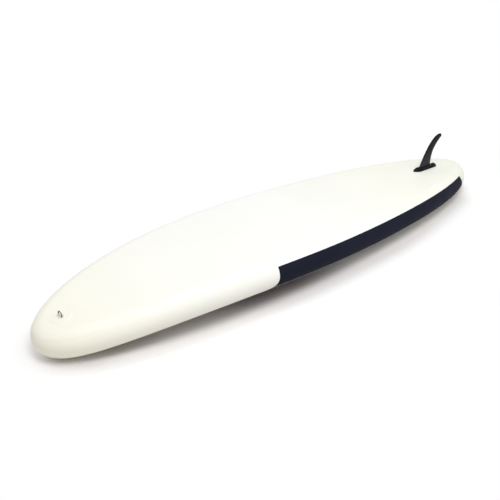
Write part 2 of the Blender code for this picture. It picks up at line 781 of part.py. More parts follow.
def make_kick_pad(material):
    start = BOARD_LENGTH - KICK_FROM_TAIL
    crest_start = start + KICK_RAMP
    crest_end = crest_start + KICK_CREST
    end = crest_end + KICK_FALL

    def top(x):
        if x <= crest_start:
            share = (x - start) / KICK_RAMP
            return PAD_THICKNESS + (KICK_HEIGHT - PAD_THICKNESS) * share ** KICK_RAMP_POWER
        if x <= crest_end:
            return height_to_floor(x)
        share = (end - x) / KICK_FALL
        return PAD_THICKNESS + (height_to_floor(crest_end) - PAD_THICKNESS) * share ** KICK_FALL_POWER

    places = spread(start, crest_start, 4) + [crest_end] + spread(crest_end, end, 3)[1:]
    outline = []
    for x in places:
        half = spine_station(x)[0] - PAD_EDGE_MARGIN
        outline.append((x, -half, half))
    strip_plate("tail_kick_pad", outline, DECK, lambda x: BENT_FACE_GAP, top, material)


def handle_rise(x):
    """Height of the webbing's middle line above its feet at local x."""
    half_span = HANDLE_SPAN / 2.0
    half_top = GRIP_LENGTH / 2.0 + STRAP_PAST_GRIP
    if abs(x) >= half_span:
        return 0.0
    if abs(x) <= half_top:
        return HANDLE_HEIGHT
    share = (half_span - abs(x)) / (half_span - half_top)
    return HANDLE_HEIGHT * share * share * (3.0 - 2.0 * share)


def make_handle(materials):
    half_span = HANDLE_SPAN / 2.0
    end = half_span + HANDLE_FOOT
    low = patch_top() + BENT_FACE_GAP + WEBBING_THICKNESS / 2.0
    frame = skin_frame(HANDLE_STATION, 0.0, DECK)
    for name, sign in (("handle_front_patch", -1), ("handle_rear_patch", 1)):
        centre = HANDLE_STATION + sign * handle_foot_centre()
        outline = []
        for along, width in HANDLE_PATCH_SHAPE:
            reach = HANDLE_PATCH_WIDTH / 2.0 * width
            outline.append((centre + HANDLE_PATCH_LENGTH / 2.0 * along, -reach, reach))
        patch(name, outline, DECK, materials["patch"])
    half_top = GRIP_LENGTH / 2.0 + STRAP_PAST_GRIP
    places = [-end]
    places += spread(-half_span, -half_top, STRAP_SLOPE_STEPS)
    places += spread(half_top, half_span, STRAP_SLOPE_STEPS)
    places += [end]
    top_side = []
    low_side = []
    for x in places:
        rise = handle_rise(x + STRAP_SLOPE_STEP) - handle_rise(x - STRAP_SLOPE_STEP)
        slope = rise / (2.0 * STRAP_SLOPE_STEP)
        size = math.hypot(slope, 1.0)
        offset_x = -slope / size * WEBBING_THICKNESS / 2.0
        offset_z = 1.0 / size * WEBBING_THICKNESS / 2.0
        top_side.append((x + offset_x, low + handle_rise(x) + offset_z))
        low_side.append((x - offset_x, low + handle_rise(x) - offset_z))
    outline = top_side + list(reversed(low_side))
    half = WEBBING_WIDTH / 2.0
    strap = prism_mesh("handle_strap", outline, -half, half, "y")
    add_object("handle_strap", strap, materials["webbing"], frame)
    sleeve = []
    for step in range(GRIP_STEPS):
        angle = 2.0 * math.pi * step / GRIP_STEPS
        sleeve.append((GRIP_WIDTH / 2.0 * math.cos(angle), GRIP_DEPTH / 2.0 * math.sin(angle)))
    grip_frame = frame @ Matrix.Translation((0.0, 0.0, low + HANDLE_HEIGHT))
    half_grip = GRIP_LENGTH / 2.0
    grip_mesh = prism_mesh("handle_grip", sleeve, -half_grip, half_grip, "x")
    grip = add_object("handle_grip", grip_mesh, materials["foam_grip"], grip_frame)
    slot_y = half + GRIP_SLOT_CLEARANCE
    slot_z = WEBBING_THICKNESS / 2.0 + GRIP_SLOT_CLEARANCE
    slot = [(-slot_y, -slot_z), (slot_y, -slot_z), (slot_y, slot_z), (-slot_y, slot_z)]
    slot_mesh = prism_mesh("grip_slot", slot, -GRIP_LENGTH, GRIP_LENGTH, "x", False)
    boolean(grip, add_cutter("grip_slot", slot_mesh, grip_frame), "DIFFERENCE")


# Inflation valve

def make_valve(materials, pierced):
    frame = skin_frame(BOARD_LENGTH - VALVE_FROM_TAIL, 0.0, DECK)
    hole_radius = VALVE_BARREL_RADIUS + FACE_GAP
    hole = turned_mesh("valve_hole", ring_profile(0.0, hole_radius, -VALVE_BARREL_DEPTH, VALVE_BARREL_DEPTH))
    hole_cutter = add_cutter("valve_hole", hole, frame)
    for sheet in pierced:
        boolean(sheet, hole_cutter, "DIFFERENCE")

    gasket_low = BENT_FACE_GAP
    gasket_high = gasket_low + GASKET_THICKNESS
    gasket = turned_mesh("valve_gasket", ring_profile(
        hole_radius, VALVE_FLANGE_RADIUS - VALVE_EDGE, gasket_low, gasket_high))
    add_object("valve_gasket", gasket, materials["rubber"], frame)

    flange_low = gasket_high + FACE_GAP
    flange_high = flange_low + VALVE_FLANGE_THICKNESS
    edge = VALVE_FLANGE_THICKNESS / 3.0
    profile = [
        (VALVE_BORE_RADIUS, flange_high),
        (VALVE_BORE_RADIUS, VALVE_SEAT_THICKNESS - VALVE_BARREL_DEPTH),
        (VALVE_SEAT_RADIUS, VALVE_SEAT_THICKNESS - VALVE_BARREL_DEPTH),
        (VALVE_SEAT_RADIUS, -VALVE_BARREL_DEPTH),
        (VALVE_BARREL_RADIUS, -VALVE_BARREL_DEPTH),
        (VALVE_BARREL_RADIUS, flange_low),
        (VALVE_FLANGE_RADIUS, flange_low),
        (VALVE_FLANGE_RADIUS, flange_high - edge),
        (VALVE_FLANGE_RADIUS - 2.0 * edge, flange_high),
    ]
    body = add_object("valve_body", turned_mesh("valve_body", profile), materials["valve"], frame)
    hub_high = -VALVE_HUB_DEPTH
    hub_low = hub_high - VALVE_HUB_HEIGHT
    wall = (VALVE_BORE_RADIUS + VALVE_BARREL_RADIUS) / 2.0
    half_arm = VALVE_ARM_WIDTH / 2.0
    arm = [(0.0, -half_arm), (wall, -half_arm), (wall, half_arm), (0.0, half_arm)]
    for k in range(3):
        name = f"valve_arm_{k + 1}"
        turn = Matrix.Rotation(2.0 * math.pi * k / 3.0, 4, "Z")
        arm_mesh = prism_mesh(name, arm, hub_low, hub_high, "z", False)
        boolean(body, add_cutter(name, arm_mesh, frame @ turn), "UNION")
    hub = turned_mesh("valve_hub", ring_profile(0.0, VALVE_HUB_RADIUS, hub_low, hub_high), SMALL_ROUND_STEPS)
    boolean(body, add_cutter("valve_hub", hub, frame), "UNION")
    guide_radius = VALVE_STEM_RADIUS + RUNNING_GAP
    guide = turned_mesh("valve_guide", ring_profile(
        0.0, guide_radius, 3.0 * hub_low, 0.0), SMALL_ROUND_STEPS)
    boolean(body, add_cutter("valve_guide", guide, frame), "DIFFERENCE")

    nut_high = -(SKIN_THICKNESS + FACE_GAP + STITCH_SHEET_THICKNESS + BENT_FACE_GAP)
    nut = turned_mesh("valve_clamp_nut", bevelled_ring_profile(
        hole_radius, CLAMP_NUT_RADIUS, nut_high - CLAMP_NUT_THICKNESS, nut_high, VALVE_EDGE))
    add_object("valve_clamp_nut", nut, materials["valve"], frame)

    disc_high = -VALVE_BARREL_DEPTH - RUNNING_GAP
    disc_low = disc_high - VALVE_DISC_THICKNESS
    button_high = -VALVE_BUTTON_DEPTH
    button_low = button_high - VALVE_BUTTON_HEIGHT
    stem = turned_mesh("valve_stem", [
        (0.0, disc_low),
        (VALVE_DISC_RADIUS - VALVE_EDGE, disc_low),
        (VALVE_DISC_RADIUS, disc_low + VALVE_EDGE),
        (VALVE_DISC_RADIUS, disc_high),
        (VALVE_STEM_RADIUS, disc_high),
        (VALVE_STEM_RADIUS, button_low),
        (VALVE_BUTTON_RADIUS, button_low),
        (VALVE_BUTTON_RADIUS, button_high - VALVE_BUTTON_EDGE),
        (VALVE_BUTTON_RADIUS - VALVE_BUTTON_EDGE, button_high),
        (0.0, button_high),
    ], SMALL_ROUND_STEPS)
    add_object("valve_stem", stem, materials["rubber"], frame)

    low = hub_high + SPRING_WIRE + FACE_GAP
    high = button_low - SPRING_WIRE - FACE_GAP
    coil = []
    total = int(SPRING_TURNS * SPRING_STEPS_PER_TURN)
    for k in range(total + 1):
        angle = 2.0 * math.pi * k / SPRING_STEPS_PER_TURN
        coil.append((SPRING_RADIUS * math.cos(angle), SPRING_RADIUS * math.sin(angle),
                     low + (high - low) * k / total))
    spring = wire_curve("valve_spring", coil, SPRING_WIRE, False, 1)
    add_object("valve_spring", spring, materials["steel"], frame)

    cap_low = flange_high + RUNNING_GAP
    cap_high = cap_low + CAP_THICKNESS
    plug_radius = VALVE_BORE_RADIUS - RUNNING_GAP
    plug_low = cap_low - CAP_PLUG_LENGTH
    cap_mesh = turned_mesh("valve_cap", [
        (0.0, cap_high - CAP_DISH),
        (0.0, cap_high),
        (CAP_RADIUS - VALVE_EDGE, cap_high),
        (CAP_RADIUS, cap_high - VALVE_EDGE),
        (CAP_RADIUS, cap_low),
        (plug_radius, cap_low),
        (plug_radius, plug_low),
        (plug_radius - CAP_WALL, plug_low),
        (plug_radius - CAP_WALL, cap_high - CAP_DISH),
    ])
    cap = add_object("valve_cap", cap_mesh, materials["valve"], frame)
    half_bar = CAP_RADIUS * CAP_GRIP_SPAN_SHARE
    half_grip = CAP_GRIP_WIDTH / 2.0
    bar = [(-half_bar, -half_grip), (half_bar, -half_grip), (half_bar, half_grip), (-half_bar, half_grip)]
    bar_mesh = prism_mesh("cap_bar", bar, cap_high - CAP_GRIP_SUNK, cap_high + CAP_GRIP_HEIGHT, "z", False)
    boolean(cap, add_cutter("cap_bar", bar_mesh, frame), "UNION")


# Fin box and fin, in a frame at the middle of the box

def fin_frame():
    return skin_frame(BOARD_LENGTH - FIN_BOX_FROM_TAIL, 0.0, HULL, BENT_FACE_GAP)


def box_section(x):
    """Half-width of the box's flange and height of its top at local x."""
    behind_tip = x + FIN_BOX_LENGTH / 2.0
    nose = behind_tip / FIN_BOX_NOSE
    ramp = behind_tip / FIN_BOX_RAMP
    taper = max(0.0, behind_tip - FIN_BOX_RAMP) / (FIN_BOX_LENGTH - FIN_BOX_RAMP)
    rear = (x - FIN_BOX_LENGTH / 2.0 + FIN_BOX_REAR) / FIN_BOX_REAR
    half = FIN_BOX_WIDTH / 2.0 * (1.0 - (1.0 - FIN_BOX_REAR_WIDTH_SHARE) * taper)
    height = FIN_BOX_HEIGHT
    if nose < 1.0:
        widening = math.sin(nose * math.pi / 2.0) ** FIN_BOX_NOSE_POWER
        half = FIN_BOX_TIP_WIDTH / 2.0 + (half - FIN_BOX_TIP_WIDTH / 2.0) * widening
    if ramp < 1.0:
        rise = ramp * ramp * (3.0 - 2.0 * ramp)
        height = FIN_BOX_HEIGHT * (FIN_BOX_TIP_HEIGHT_SHARE + (1.0 - FIN_BOX_TIP_HEIGHT_SHARE) * rise)
    if rear > 0.0:
        half = half * math.sqrt(1.0 - FIN_BOX_REAR_NARROWING * rear * rear)
        height = height * (1.0 - FIN_BOX_REAR_LOWERING * rear * rear)
    return half, height


def make_fin_box(material):
    frame = fin_frame()
    start = -FIN_BOX_LENGTH / 2.0
    end = FIN_BOX_LENGTH / 2.0
    places = [start + FIN_BOX_RAMP * share for share in FIN_BOX_FRONT_SHARES]
    places += [end - FIN_BOX_REAR * (1.0 - share) for share in FIN_BOX_REAR_SHARES]
    bm = bmesh.new()
    loops = []
    for x in places:
        half, height = box_section(x)
        flange = min(FIN_BOX_FLANGE, half * FLANGE_WIDTH_LIMIT)
        lip = min(FIN_BOX_FLANGE_THICKNESS, height * FLANGE_HEIGHT_LIMIT)
        wall = half - flange
        top = max(wall - FIN_BOX_SIDE_LEAN, wall * TOP_WIDTH_LIMIT)
        chamfer = height * TOP_CHAMFER_SHARE
        side = [(half, 0.0), (half, lip), (wall, lip * FLANGE_RISE)]
        side += [(top, height - chamfer), (top - chamfer, height)]
        outline = side + [(-u, v) for u, v in reversed(side)]
        loops.append([bm.verts.new((x, u, v)) for u, v in outline])
    for loop, following in zip(loops, loops[1:]):
        count = len(loop)
        for k in range(count):
            n = (k + 1) % count
            bm.faces.new((loop[k], loop[n], following[n], following[k]))
    bm.faces.new(loops[0])
    bm.faces.new(loops[-1])
    box = add_object("fin_box", mesh_from(bm, "fin_box"), material, frame)
    channel = FIN_CHANNEL_WIDTH / 2.0
    neck = FIN_SLOT_WIDTH / 2.0
    floor = FIN_CHANNEL_FLOOR
    roof = FIN_CHANNEL_FLOOR + FIN_CHANNEL_HEIGHT
    above = 2.0 * FIN_BOX_HEIGHT
    slot = [(-channel, floor), (channel, floor), (channel, roof), (neck, roof),
            (neck, above), (-neck, above), (-neck, roof), (-channel, roof)]
    mesh = prism_mesh("fin_slot", slot, start + FIN_SLOT_START, end + FIN_BOX_REAR, "x", False)
    boolean(box, add_cutter("fin_slot", mesh, frame), "DIFFERENCE")


def bezier(points, share):
    rest = 1.0 - share
    weights = (rest ** 3, 3 * rest ** 2 * share, 3 * rest * share ** 2, share ** 3)
    return (sum(w * p[0] for w, p in zip(weights, points)), sum(w * p[1] for w, p in zip(weights, points)))


def foil_loop(front, back, thickness):
    """Points round a symmetric foil section between its front and back points."""
    points = []
    for sign, order in ((1, FOIL_THICKNESS_SHARES), (-1, tuple(reversed(FOIL_THICKNESS_SHARES[1:])))):
        for share, thickness_share in order:
            x = front[0] + (back[0] - front[0]) * share
            z = front[1] + (back[1] - front[1]) * share
            half = max(thickness * thickness_share, FIN_EDGE_THICKNESS * share) / 2.0
            points.append((x, sign * half, z))
    return points


def make_fin(material):
    frame = fin_frame()
    start = -FIN_BOX_LENGTH / 2.0
    root_x = start + FIN_ROOT_FROM_BOX_TIP
    foot_top = FIN_BOX_HEIGHT + FIN_FIT
    root_z = foot_top
    leading = [(root_x, root_z)]
    leading += [(root_x + along * FIN_RAKE, root_z + up * FIN_HEIGHT) for along, up in FIN_LEADING_PULLS]
    leading += [(root_x + FIN_RAKE, root_z + FIN_HEIGHT)]
    back_x = root_x + FIN_ROOT_CHORD
    tip_x = root_x + FIN_RAKE + FIN_TIP_CHORD
    tip_z = root_z + FIN_HEIGHT - FIN_TIP_DROP
    drift = tip_x - back_x
    trailing = [(back_x, root_z)]
    trailing += [(back_x + along * drift, root_z + up * FIN_HEIGHT) for along, up in FIN_TRAILING_PULLS]
    trailing += [(tip_x, tip_z)]
    bm = bmesh.new()
    loops = []
    for number, share in enumerate(FIN_SECTION_SHARES):
        front = bezier(leading, share)
        back = bezier(trailing, share)
        thickness = FIN_ROOT_THICKNESS + (FIN_TIP_THICKNESS - FIN_ROOT_THICKNESS) * share
        points = foil_loop(front, back, thickness)
        if number == 0:
            loops.append([bm.verts.new((x, y, z - FIN_SUNK)) for x, y, z in points])
        loops.append([bm.verts.new(point) for point in points])
    for loop, following in zip(loops, loops[1:]):
        count = len(loop)
        for k in range(count):
            n = (k + 1) % count
            bm.faces.new((loop[k], loop[n], following[n], following[k]))
    bm.faces.new(loops[0])
    tip_front = bezier(leading, 1.0)
    tip_back = bezier(trailing, 1.0)
    crown_x = (tip_front[0] + tip_back[0]) / 2.0 + FIN_CROWN_AFT
    crown_z = (tip_front[1] + tip_back[1]) / 2.0 + FIN_CROWN_RISE
    crown = bm.verts.new((crown_x, 0.0, crown_z))
    count = len(loops[-1])
    for k in range(count):
        bm.faces.new((loops[-1][k], loops[-1][(k + 1) % count], crown))
    fin = add_object("fin", mesh_from(bm, "fin"), material, frame)

    neck = FIN_SLOT_WIDTH / 2.0 - FIN_FIT
    channel = FIN_CHANNEL_WIDTH / 2.0 - FIN_FIT
    low = FIN_CHANNEL_FLOOR + FIN_FIT
    roof = FIN_CHANNEL_FLOOR + FIN_CHANNEL_HEIGHT - FIN_FIT
    foot_start = start + FIN_SLOT_START + FIN_FIT
    foot_end = FIN_BOX_LENGTH / 2.0 - FIN_FOOT_END
    foot = [(-channel, low), (channel, low), (channel, roof), (neck, roof),
            (neck, foot_top), (-neck, foot_top), (-neck, roof), (-channel, roof)]
    foot_mesh = prism_mesh("fin_foot", foot, foot_start, foot_end, "x", False)
    boolean(fin, add_cutter("fin_foot", foot_mesh, frame), "UNION")
    heel_start = foot_end - FIN_HEEL_LENGTH
    heel = []
    for step in range(FIN_HEEL_STEPS + 1):
        share = step / FIN_HEEL_STEPS
        rise = FIN_HEEL_HEIGHT * abs(math.sin(math.pi * share)) ** FIN_HEEL_ROUNDNESS
        heel.append((heel_start + FIN_HEEL_LENGTH * share, foot_top + rise))
    half_heel = FIN_HEEL_WIDTH / 2.0
    heel_mesh = prism_mesh("fin_heel", heel, -half_heel, half_heel, "y")
    boolean(fin, add_cutter("fin_heel", heel_mesh, frame), "UNION")
    bore_frame = frame @ Matrix.Translation((start + LOCK_SCREW_FROM_BOX_TIP, 0.0, 0.0))
    bore = turned_mesh("lock_screw_bore", ring_profile(
        0.0, LOCK_SCREW_RADIUS + RUNNING_GAP, -FIN_BOX_HEIGHT, 2.0 * FIN_BOX_HEIGHT), SMALL_ROUND_STEPS)
    boolean(fin, add_cutter("lock_screw_bore", bore, bore_frame), "DIFFERENCE")


def make_lock_screw(material):
    frame = fin_frame() @ Matrix.Translation((-FIN_BOX_LENGTH / 2.0 + LOCK_SCREW_FROM_BOX_TIP, 0.0, 0.0))
    knob_low = FIN_BOX_HEIGHT + FIN_FIT + RUNNING_GAP
    knob_high = knob_low + LOCK_KNOB_HEIGHT
    low = FIN_CHANNEL_FLOOR + FIN_FIT
    bm = bmesh.new()
    count = 2 * LOCK_KNOB_RIBS
    rings = []
    levels = (
        (low, LOCK_SCREW_RADIUS, 0.0),
        (knob_low, LOCK_SCREW_RADIUS, 0.0),
        (knob_low, LOCK_KNOB_RADIUS, LOCK_KNOB_RIB_DEPTH),
        (knob_high - LOCK_KNOB_BEVEL, LOCK_KNOB_RADIUS, LOCK_KNOB_RIB_DEPTH),
        (knob_high, LOCK_KNOB_RADIUS - LOCK_KNOB_BEVEL, LOCK_KNOB_RIB_DEPTH),
    )
    for z, radius, groove in levels:
        ring = []
        for k in range(count):
            angle = 2.0 * math.pi * k / count
            reach = radius - groove * (k % 2)
            ring.append(bm.verts.new((reach * math.cos(angle), reach * math.sin(angle), z)))
        rings.append(ring)
    for ring, following in zip(rings, rings[1:]):
        for k in range(count):
            n = (k + 1) % count
            bm.faces.new((ring[k], ring[n], following[n], following[k]))
    bm.faces.new(rings[0])
    bm.faces.new(rings[-1])
    add_object("fin_lock_screw", mesh_from(bm, "fin_lock_screw"), material, frame)


# Setting the board down

def set_down():
    """Turn the resting line level and put it on z = 0, with the board centred over the origin."""
    angle, crest = resting_line()
    turn = Matrix.Rotation(angle, 4, "Y")
    nose = turn @ bend(TIP_STATION, 0.0, 0.0)
    tail = turn @ bend(END_STATION, 0.0, 0.0)
    floor = turn @ crest
    shift = Matrix.Translation((-(nose.x + tail.x) / 2.0, 0.0, -floor.z))
    rest_frame.matrix_world = shift @ turn


def main():
    global rest_frame
    clear_scene()
    rest_frame = bpy.data.objects.new("rest_frame", None)
    bpy.context.scene.collection.objects.link(rest_frame)

    white = make_material("white_vinyl", (0.93, 0.93, 0.86), 0.38)
    navy = make_material("navy_vinyl", (0.012, 0.012, 0.032), 0.35)
    fabric = make_material("core_fabric", (0.80, 0.80, 0.76), 0.8)
    foam = make_material("deck_foam", (0.10, 0.13, 0.19), 0.85)
    dark = make_material("dark_vinyl", (0.02, 0.02, 0.03), 0.5)
    webbing = make_material("webbing", (0.015, 0.015, 0.02), 0.8)
    steel = make_material("stainless_steel", (0.55, 0.55, 0.56), 0.25, 1.0)
    valve = make_material("valve_plastic", (0.05, 0.05, 0.06), 0.45)
    rubber = make_material("seal_rubber", (0.03, 0.03, 0.03), 0.7)
    fin_plastic = make_material("fin_plastic", (0.006, 0.008, 0.016), 0.4)

    make_skin("hull_skin", spread(0.0, HULL_SEAM_ANGLE - seam_half_angle(), SHOULDER_STEPS), white)
    deck_angles = spread(math.pi, DECK_SEAM_ANGLE + seam_half_angle(), SHOULDER_STEPS)
    deck_skin = make_skin("deck_skin", deck_angles, white)
    make_rail("nose_rail_wrap", nose_columns, white)
    make_rail("tail_rail_wrap", tail_columns, white)
    make_rail("starboard_rail_panel", side_columns(STARBOARD), navy)
    make_rail("port_rail_panel", side_columns(PORT), navy)
    core = make_drop_stitch_core(fabric)

    make_deck_pad(foam)
    make_kick_pad(foam)
    make_handle({"patch": dark, "webbing": webbing, "foam_grip": foam})

    rest_angle = resting_line()[0]
    make_ring_set(("nose_ring_patch", "nose_ring_loop", "nose_tow_ring"), TOW_RING_STATION, 0.0, HULL,
                  TOW_RING_WIRE, TOW_RING_INSIDE, TOW_LOOP_WIDTH, TOW_PATCH_RADIUS, TOW_RING_LEAN,
                  {"patch": white, "webbing": white, "steel": steel})
    number = 0
    for x, y in zip(CARGO_RING_STATIONS, CARGO_RING_SPREADS):
        plumb = math.pi / 2.0 + surface_angle(x) - rest_angle
        for side_sign in (STARBOARD, PORT):
            number += 1
            names = (f"cargo_patch_{number}", f"cargo_loop_{number}", f"cargo_ring_{number}")
            make_ring_set(names, x, side_sign * y, DECK, CARGO_RING_WIRE, CARGO_RING_INSIDE,
                          CARGO_LOOP_WIDTH, CARGO_PATCH_RADIUS, plumb,
                          {"patch": dark, "webbing": webbing, "steel": steel})
    leash_x = BOARD_LENGTH - LEASH_RING_FROM_TAIL
    droop = lean_to_floor(leash_x, LEASH_RING_INSIDE, LEASH_RING_WIRE)
    make_ring_set(("leash_patch", "leash_loop", "leash_ring"), leash_x, 0.0, DECK,
                  LEASH_RING_WIRE, LEASH_RING_INSIDE, LEASH_LOOP_WIDTH, LEASH_PATCH_RADIUS, droop,
                  {"patch": dark, "webbing": webbing, "steel": steel})

    make_valve({"valve": valve, "rubber": rubber, "steel": steel}, (deck_skin, core))
    make_fin_box(fin_plastic)
    make_fin(fin_plastic)
    make_lock_screw(fin_plastic)
    set_down()


main()
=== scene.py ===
"""Looks of an inflatable stand-up paddle board, lying on its deck with the fin up.

Shapes are drawn in the same flat design space as the construction: x runs from nose
to tail, y across the board, and h above the middle surface, towards the hull. bend()
lifts that space onto the rocker line, and REST sets the board down on the floor.
All lengths are in metres.
"""

import json
import math

import bmesh
import bpy
from mathutils import Matrix, Vector, noise
from mathutils.geometry import delaunay_2d_cdt


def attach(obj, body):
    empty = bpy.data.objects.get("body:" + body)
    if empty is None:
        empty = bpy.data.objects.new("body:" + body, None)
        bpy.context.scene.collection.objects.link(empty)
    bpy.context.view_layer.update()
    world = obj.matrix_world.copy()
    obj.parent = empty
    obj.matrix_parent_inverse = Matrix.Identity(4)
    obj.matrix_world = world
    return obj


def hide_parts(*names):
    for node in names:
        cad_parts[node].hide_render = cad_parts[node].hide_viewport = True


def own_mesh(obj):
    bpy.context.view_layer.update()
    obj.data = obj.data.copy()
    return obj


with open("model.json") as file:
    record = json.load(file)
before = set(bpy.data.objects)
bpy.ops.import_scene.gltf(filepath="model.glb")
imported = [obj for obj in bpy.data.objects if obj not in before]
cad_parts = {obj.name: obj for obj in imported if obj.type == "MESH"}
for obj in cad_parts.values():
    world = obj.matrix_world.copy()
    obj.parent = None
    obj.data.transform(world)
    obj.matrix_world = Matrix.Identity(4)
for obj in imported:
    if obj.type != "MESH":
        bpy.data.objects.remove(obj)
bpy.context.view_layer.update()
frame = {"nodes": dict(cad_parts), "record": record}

# Board outline, rocker and seams
BOARD_LENGTH = 3.05
BOARD_WIDTH = 0.81
RAIL_RADIUS = 0.075
WIDEST_FROM_NOSE = 1.436
NOSE_ROUNDNESS = 1.96
NOSE_FULLNESS = 0.50
TAIL_ROUNDNESS = 1.77
TAIL_FULLNESS = 0.553
ROCKER_LOW_POINT = 1.75
NOSE_ROCKER = 0.144
NOSE_ROCKER_POWER = 3.59
TAIL_ROCKER = 0.0165
TAIL_ROCKER_POWER = 2.28
HULL_SEAM_ANGLE = math.radians(46.6)
DECK_SEAM_ANGLE = math.radians(140.0)
NOSE_BREAK = 1.114
NOSE_BREAK_SLANT = -0.08
NOSE_BREAK_CORNER = 0.060
TAIL_BREAK = BOARD_LENGTH - 0.235
TAIL_BREAK_SLANT = 0.36
TAIL_BREAK_CORNER = 0.034
TIP_STATION = RAIL_RADIUS
END_STATION = BOARD_LENGTH - RAIL_RADIUS
HULL = 1
DECK = -1
STARBOARD = -1
PORT = 1

# Layers at the glued seams: the hull and deck sheets lie over the wraps, and these over the navy panels
SHEET_THICKNESS = 0.0006
WRAP_THICKNESS = 0.0005
PANEL_THICKNESS = 0.0009
WRAP_LIFT = 0.0006
SHEET_LIFT = 0.0007
LAP_HIDDEN = 0.012
LAP_FLAT = 0.012
LAP_BLEND = 0.022

# Deck pad; an edge is (distance inwards, height), and a groove is (start, end) of its band
FACE_GAP = 0.0003
BASE_GAP = 0.0005
PAD_THICKNESS = 0.005
PAD_START = 0.90
PAD_EDGE_MARGIN = 0.020
PAD_CORNER = 0.090
PAD_EDGE = ((0.0, 0.0012), (0.0003, 0.0038), (0.0011, 0.0046), (0.0024, PAD_THICKNESS))
PAD_FILL_STEPS = 52
PAD_FILL_CLEARANCE = 0.022
RIM_GROOVE = (0.0220, 0.0270)
HOLE_GROOVE = (0.0130, 0.0170)
GROOVE_WALL = 0.0008
GROOVE_FLOOR = 0.0028
GROOVE_HALF_WIDTHS = (0.0032, 0.0022)
GROOVE_SHARES = (0.11, 0.28, 0.45, 0.62, 0.79)
GROOVE_CLEARANCE = 0.030
GROOVE_PITCH = 0.025
GROOVE_SPAN = (PAD_START + 0.048, BOARD_LENGTH - 0.515)

# Kick pad; its front and rear are (distance inwards, share of the height), and a rib's cut is (offset, depth)
KICK_START = BOARD_LENGTH - 0.47
KICK_RAMP = 0.070
KICK_CREST = 0.045
KICK_FALL = 0.045
KICK_HEIGHT = 0.027
KICK_RAMP_POWER = 1.6
KICK_FALL_POWER = 0.8
KICK_FRONT = ((0.0, 0.55), (0.0004, 0.9), (0.0012, 1.0))
KICK_REAR = ((0.003, 1.0), (0.0012, 0.93), (0.0003, 0.72), (0.0, 0.4))
KICK_CROWN = ((0.0, 0.25), (0.0003, 0.50), (0.0012, 0.70), (0.003, 0.83), (0.006, 0.92), (0.010, 0.97),
              (0.016, 1.0))
KICK_FLAT_STEPS = 14
KICK_BASE_INSET = 0.0005
RIB_START = 0.010
RIB_PITCH = 0.0112
RIB_COUNT = 13
RIB_DEPTH = 0.0016
RIB_CUT = ((-0.0016, 0.0), (-0.0009, RIB_DEPTH), (0.0009, RIB_DEPTH), (0.0016, 0.0), (0.0040, 0.0),
           (0.0072, 0.0))
RIB_FROM_SIDE = 0.018
RIB_RUNOUT = 0.004
LAST_RIB_FROM_END = 0.004

# Carry handle; the sleeve's end is (distance inwards, share of the section)
HANDLE_STATION = 1.50
HANDLE_SPAN = 0.190
HANDLE_HEIGHT = 0.036
HANDLE_FOOT = 0.042
HANDLE_PATCH = (0.062, 0.070)
OPENING = (0.161, 0.049)
STRAP_LOW = 0.0032
STRAP_PAST_GRIP = 0.004
STRAP_CORNER = 0.0006
STRAP_STEPS = 110
STRAP_STITCHES = (HANDLE_SPAN / 2.0 + 0.007, HANDLE_SPAN / 2.0 + HANDLE_FOOT - 0.003)
STRAP_STITCHES_INSET = 0.0025
WEBBING_WIDTH = 0.025
WEBBING_THICKNESS = 0.002
GRIP_LENGTH = 0.110
GRIP_WIDTH = 0.038
GRIP_DEPTH = 0.020
GRIP_CROWN = 0.035
GRIP_SQUARENESS = 0.86
GRIP_END = ((0.0030, 0.36), (0.0004, 0.45), (0.0, 0.62), (0.0004, 0.80), (0.0018, 0.91), (0.0045, 0.96))
GRIP_EVEN_FROM_END = 0.009
GRIP_SEAM_ANGLE = 0.62
GRIP_SEAM_SPREAD = 0.07
GRIP_SEAM_DEPTH = 0.0006
GRIP_STITCH_ANGLE = 0.74
GRIP_STITCH_END = 0.006
GRIP_STITCH_PITCH = 0.0034
GRIP_STITCH_RADIUS = 0.00034
GRIP_WRINKLE = 0.00022

# Patches: steps round the rim, power of the outline, and (share of the radius, height) from the middle out
ROUND_PATCH = (72, 1.0, (
    (0.0, 0.0017), (0.70, 0.0017), (0.74, 0.0014), (0.78, 0.0014), (0.82, 0.0017), (0.93, 0.0016),
    (0.98, 0.0011), (1.0, 0.0005), (0.995, -0.0004)))
SQUARE_PATCH = (96, 0.36, (
    (0.0, 0.0017), (0.86, 0.0017), (0.885, 0.0014), (0.905, 0.0014), (0.93, 0.0017), (0.975, 0.0016),
    (0.993, 0.0012), (1.0, 0.0006), (0.998, -0.0004)))

# Rings on patches: place, wire, inside width, loop width, patch radius and lean from the skin
TOW_RING = (0.152, 0.0, 0.0025, 0.025, 0.022, 0.050, math.radians(87.0))
CARGO_RINGS = [(x, side * y, 0.002, 0.020, 0.016, 0.032, math.radians(lean))
               for x, y, lean in ((0.47, 0.150, 95.506), (0.80, 0.195, 91.494)) for side in (-1, 1)]
LEASH_RING = (BOARD_LENGTH - 0.145, 0.0, 0.002, 0.025, 0.020, 0.034, math.radians(10.563))
RING_LIFT = 0.0022
RING_CORNER_SHARE = 0.35
RING_DEPTH_SHARE = 0.55
BAR_LIFT = 0.0006
LOOP_PLAY = 0.0004
LOOP_THICKNESS = 0.0016
LOOP_FOOT = 0.0078
LOOP_SELVEDGE = 0.0005
LOOP_SELVEDGE_SHARE = 0.972
LOOP_STITCH_OUT = 0.0030
LOOP_STITCH_PITCH = 0.0026

# Stitches: (share of the pitch, lift in radii) along one thread
STITCH_PITCH = 0.0032
STITCH_RADIUS = 0.0003
STITCH_BULGE = ((0.12, -0.6), (0.25, 0.3), (0.75, 0.3), (0.88, -0.6))
STITCH_INSET = 0.0016

